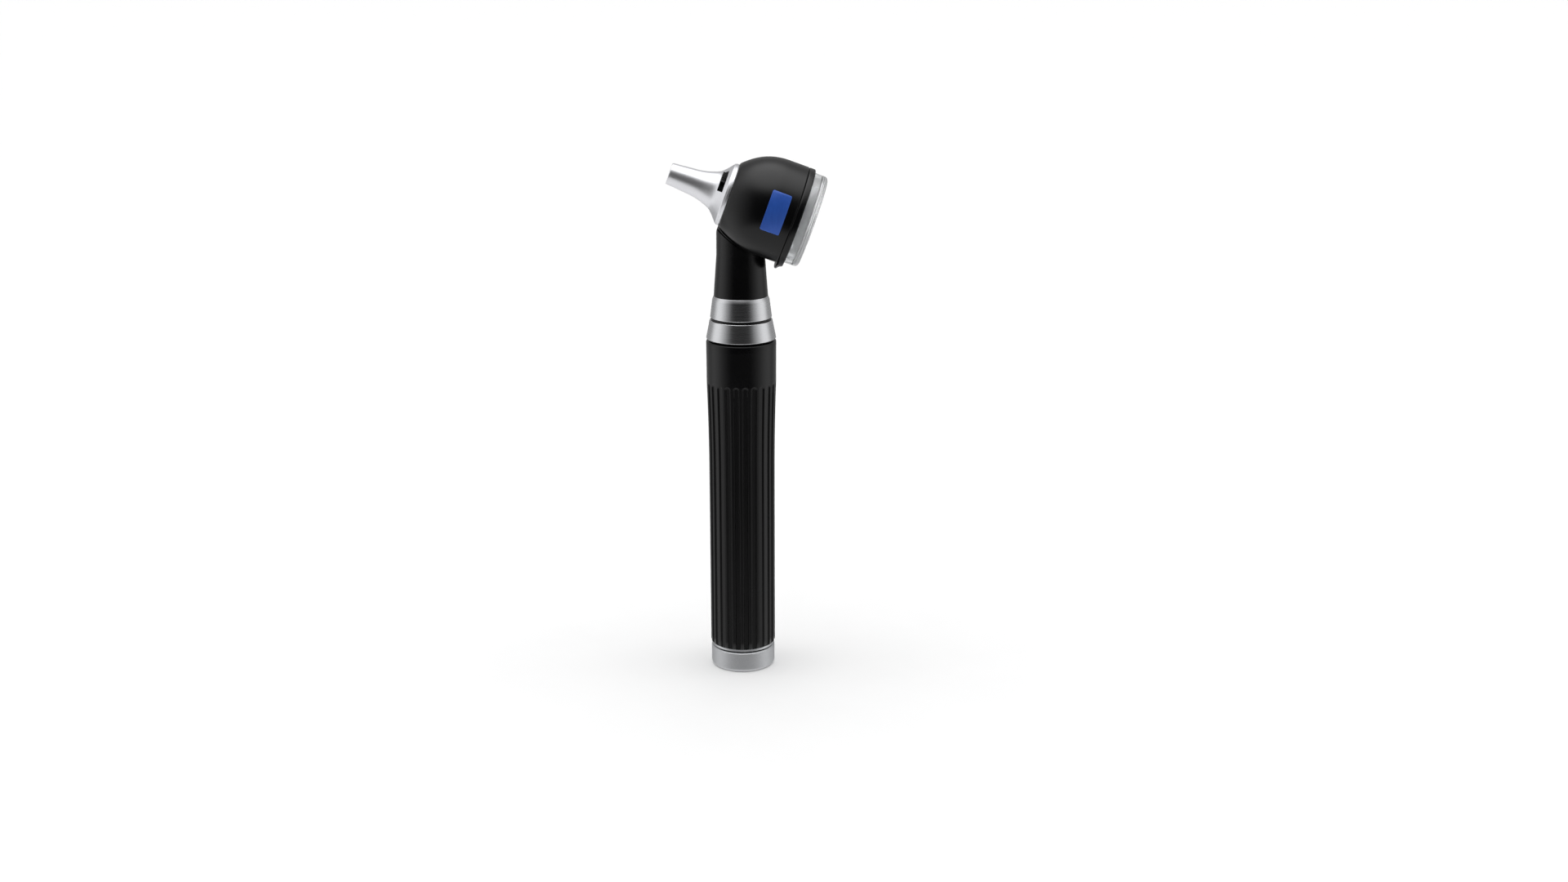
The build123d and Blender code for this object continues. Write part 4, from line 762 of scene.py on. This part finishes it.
# Brightness of the tent's wall from behind (0) to the front (1), and from straight down (0)
# to straight up (1); the brighter of the two counts.
TENT_WALL = [(0.0, 0.35), (0.24, 0.35), (0.4, 1.0), (0.58, 1.0), (0.92, 0.02), (1.0, 0.02)]
TENT_RISE = [(0.0, 0.9), (0.25, 0.9), (0.34, 0.0), (0.84, 0.0), (0.93, 0.95), (1.0, 1.0)]
ROOF_FROM, ROOF_FULL, ROOF_STRENGTH = 0.72, 0.95, 1.3
OVERHEAD_SPREAD, OVERHEAD_STRENGTH = 100.0, 0.4
table = bpy.data.objects.new("table", bpy.data.meshes.new("table"))
corners = [(x * TABLE_HALF, y * TABLE_HALF, cad_low.z) for x, y in ((-1, -1), (1, -1), (1, 1), (-1, 1))]
table.data.from_pydata(corners, [], [(0, 1, 2, 3)])
bpy.context.scene.collection.objects.link(table)

# White laminate: flat and matt, with a trace of paper fibre in its tone.
laminate, shader = surface("white_laminate", "#f6f6f6", Roughness=0.7)
place = add(laminate, "TexCoord", {})
fibre = add(laminate, "TexNoise",
            {"Vector": place.outputs["Object"], "Scale": 1 / (FIBRE_LENGTH * MM), "Detail": 4.0})
tone = add(laminate, "ValToRGB", {"Fac": fibre.outputs["Fac"]})
tone.color_ramp.elements[0].color = linear("#f5f5f5")
tone.color_ramp.elements[1].color = linear("#f8f8f8")
join(tone.outputs["Color"], shader.inputs["Base Color"])
table.data.materials.append(laminate)
table.visible_glossy = False

tent = bpy.data.worlds.new("light_tent")
tent.use_nodes = True
light = tent.node_tree.nodes["Background"]
way = add(tent, "TexCoord", {})
split = add(tent, "SeparateXYZ", {"Vector": way.outputs["Generated"]})
flattened = add(tent, "VectorMath", {0: way.outputs["Generated"], 1: (1.0, 1.0, 0.0)}, operation="MULTIPLY")
level_way = add(tent, "VectorMath", {0: flattened.outputs["Vector"]}, operation="NORMALIZE")
to_front = add(tent, "VectorMath", {0: level_way.outputs["Vector"], 1: tuple(near_way)},
               operation="DOT_PRODUCT")
wall_place = add(tent, "MapRange", {"Value": to_front.outputs["Value"], "From Min": -1.0})
rise_place = add(tent, "MapRange", {"Value": split.outputs["Z"], "From Min": -1.0})
panels = []
for source, levels in ((wall_place, TENT_WALL), (rise_place, TENT_RISE)):
    panel = add(tent, "ValToRGB", {"Fac": source.outputs["Result"]})
    while len(panel.color_ramp.elements) < len(levels):
        panel.color_ramp.elements.new(0.5)
    for k, (at, level) in enumerate(levels):
        panel.color_ramp.elements[k].position = at
        panel.color_ramp.elements[k].color = (level, level, level, 1.0)
    panels.append(panel)
shell = add(tent, "Math", {0: panels[0].outputs["Color"], 1: panels[1].outputs["Color"]}, operation="MAXIMUM")
roof = add(tent, "MapRange",
           {"Value": split.outputs["Z"], "From Min": ROOF_FROM, "From Max": ROOF_FULL, "To Max": ROOF_STRENGTH})
total = add(tent, "Math", {0: shell.outputs["Value"], 1: roof.outputs["Result"]}, operation="ADD")
join(total.outputs["Value"], light.inputs["Color"])
light.inputs["Strength"].default_value = 1.0
bpy.context.scene.world = tent

# A broad, weak light from straight above, which lays the soft shadow round the foot.
overhead = bpy.data.objects.new("overhead", bpy.data.lights.new("overhead", "SUN"))
overhead.data.angle = radians(OVERHEAD_SPREAD)
overhead.data.energy = OVERHEAD_STRENGTH
bpy.context.scene.collection.objects.link(overhead)
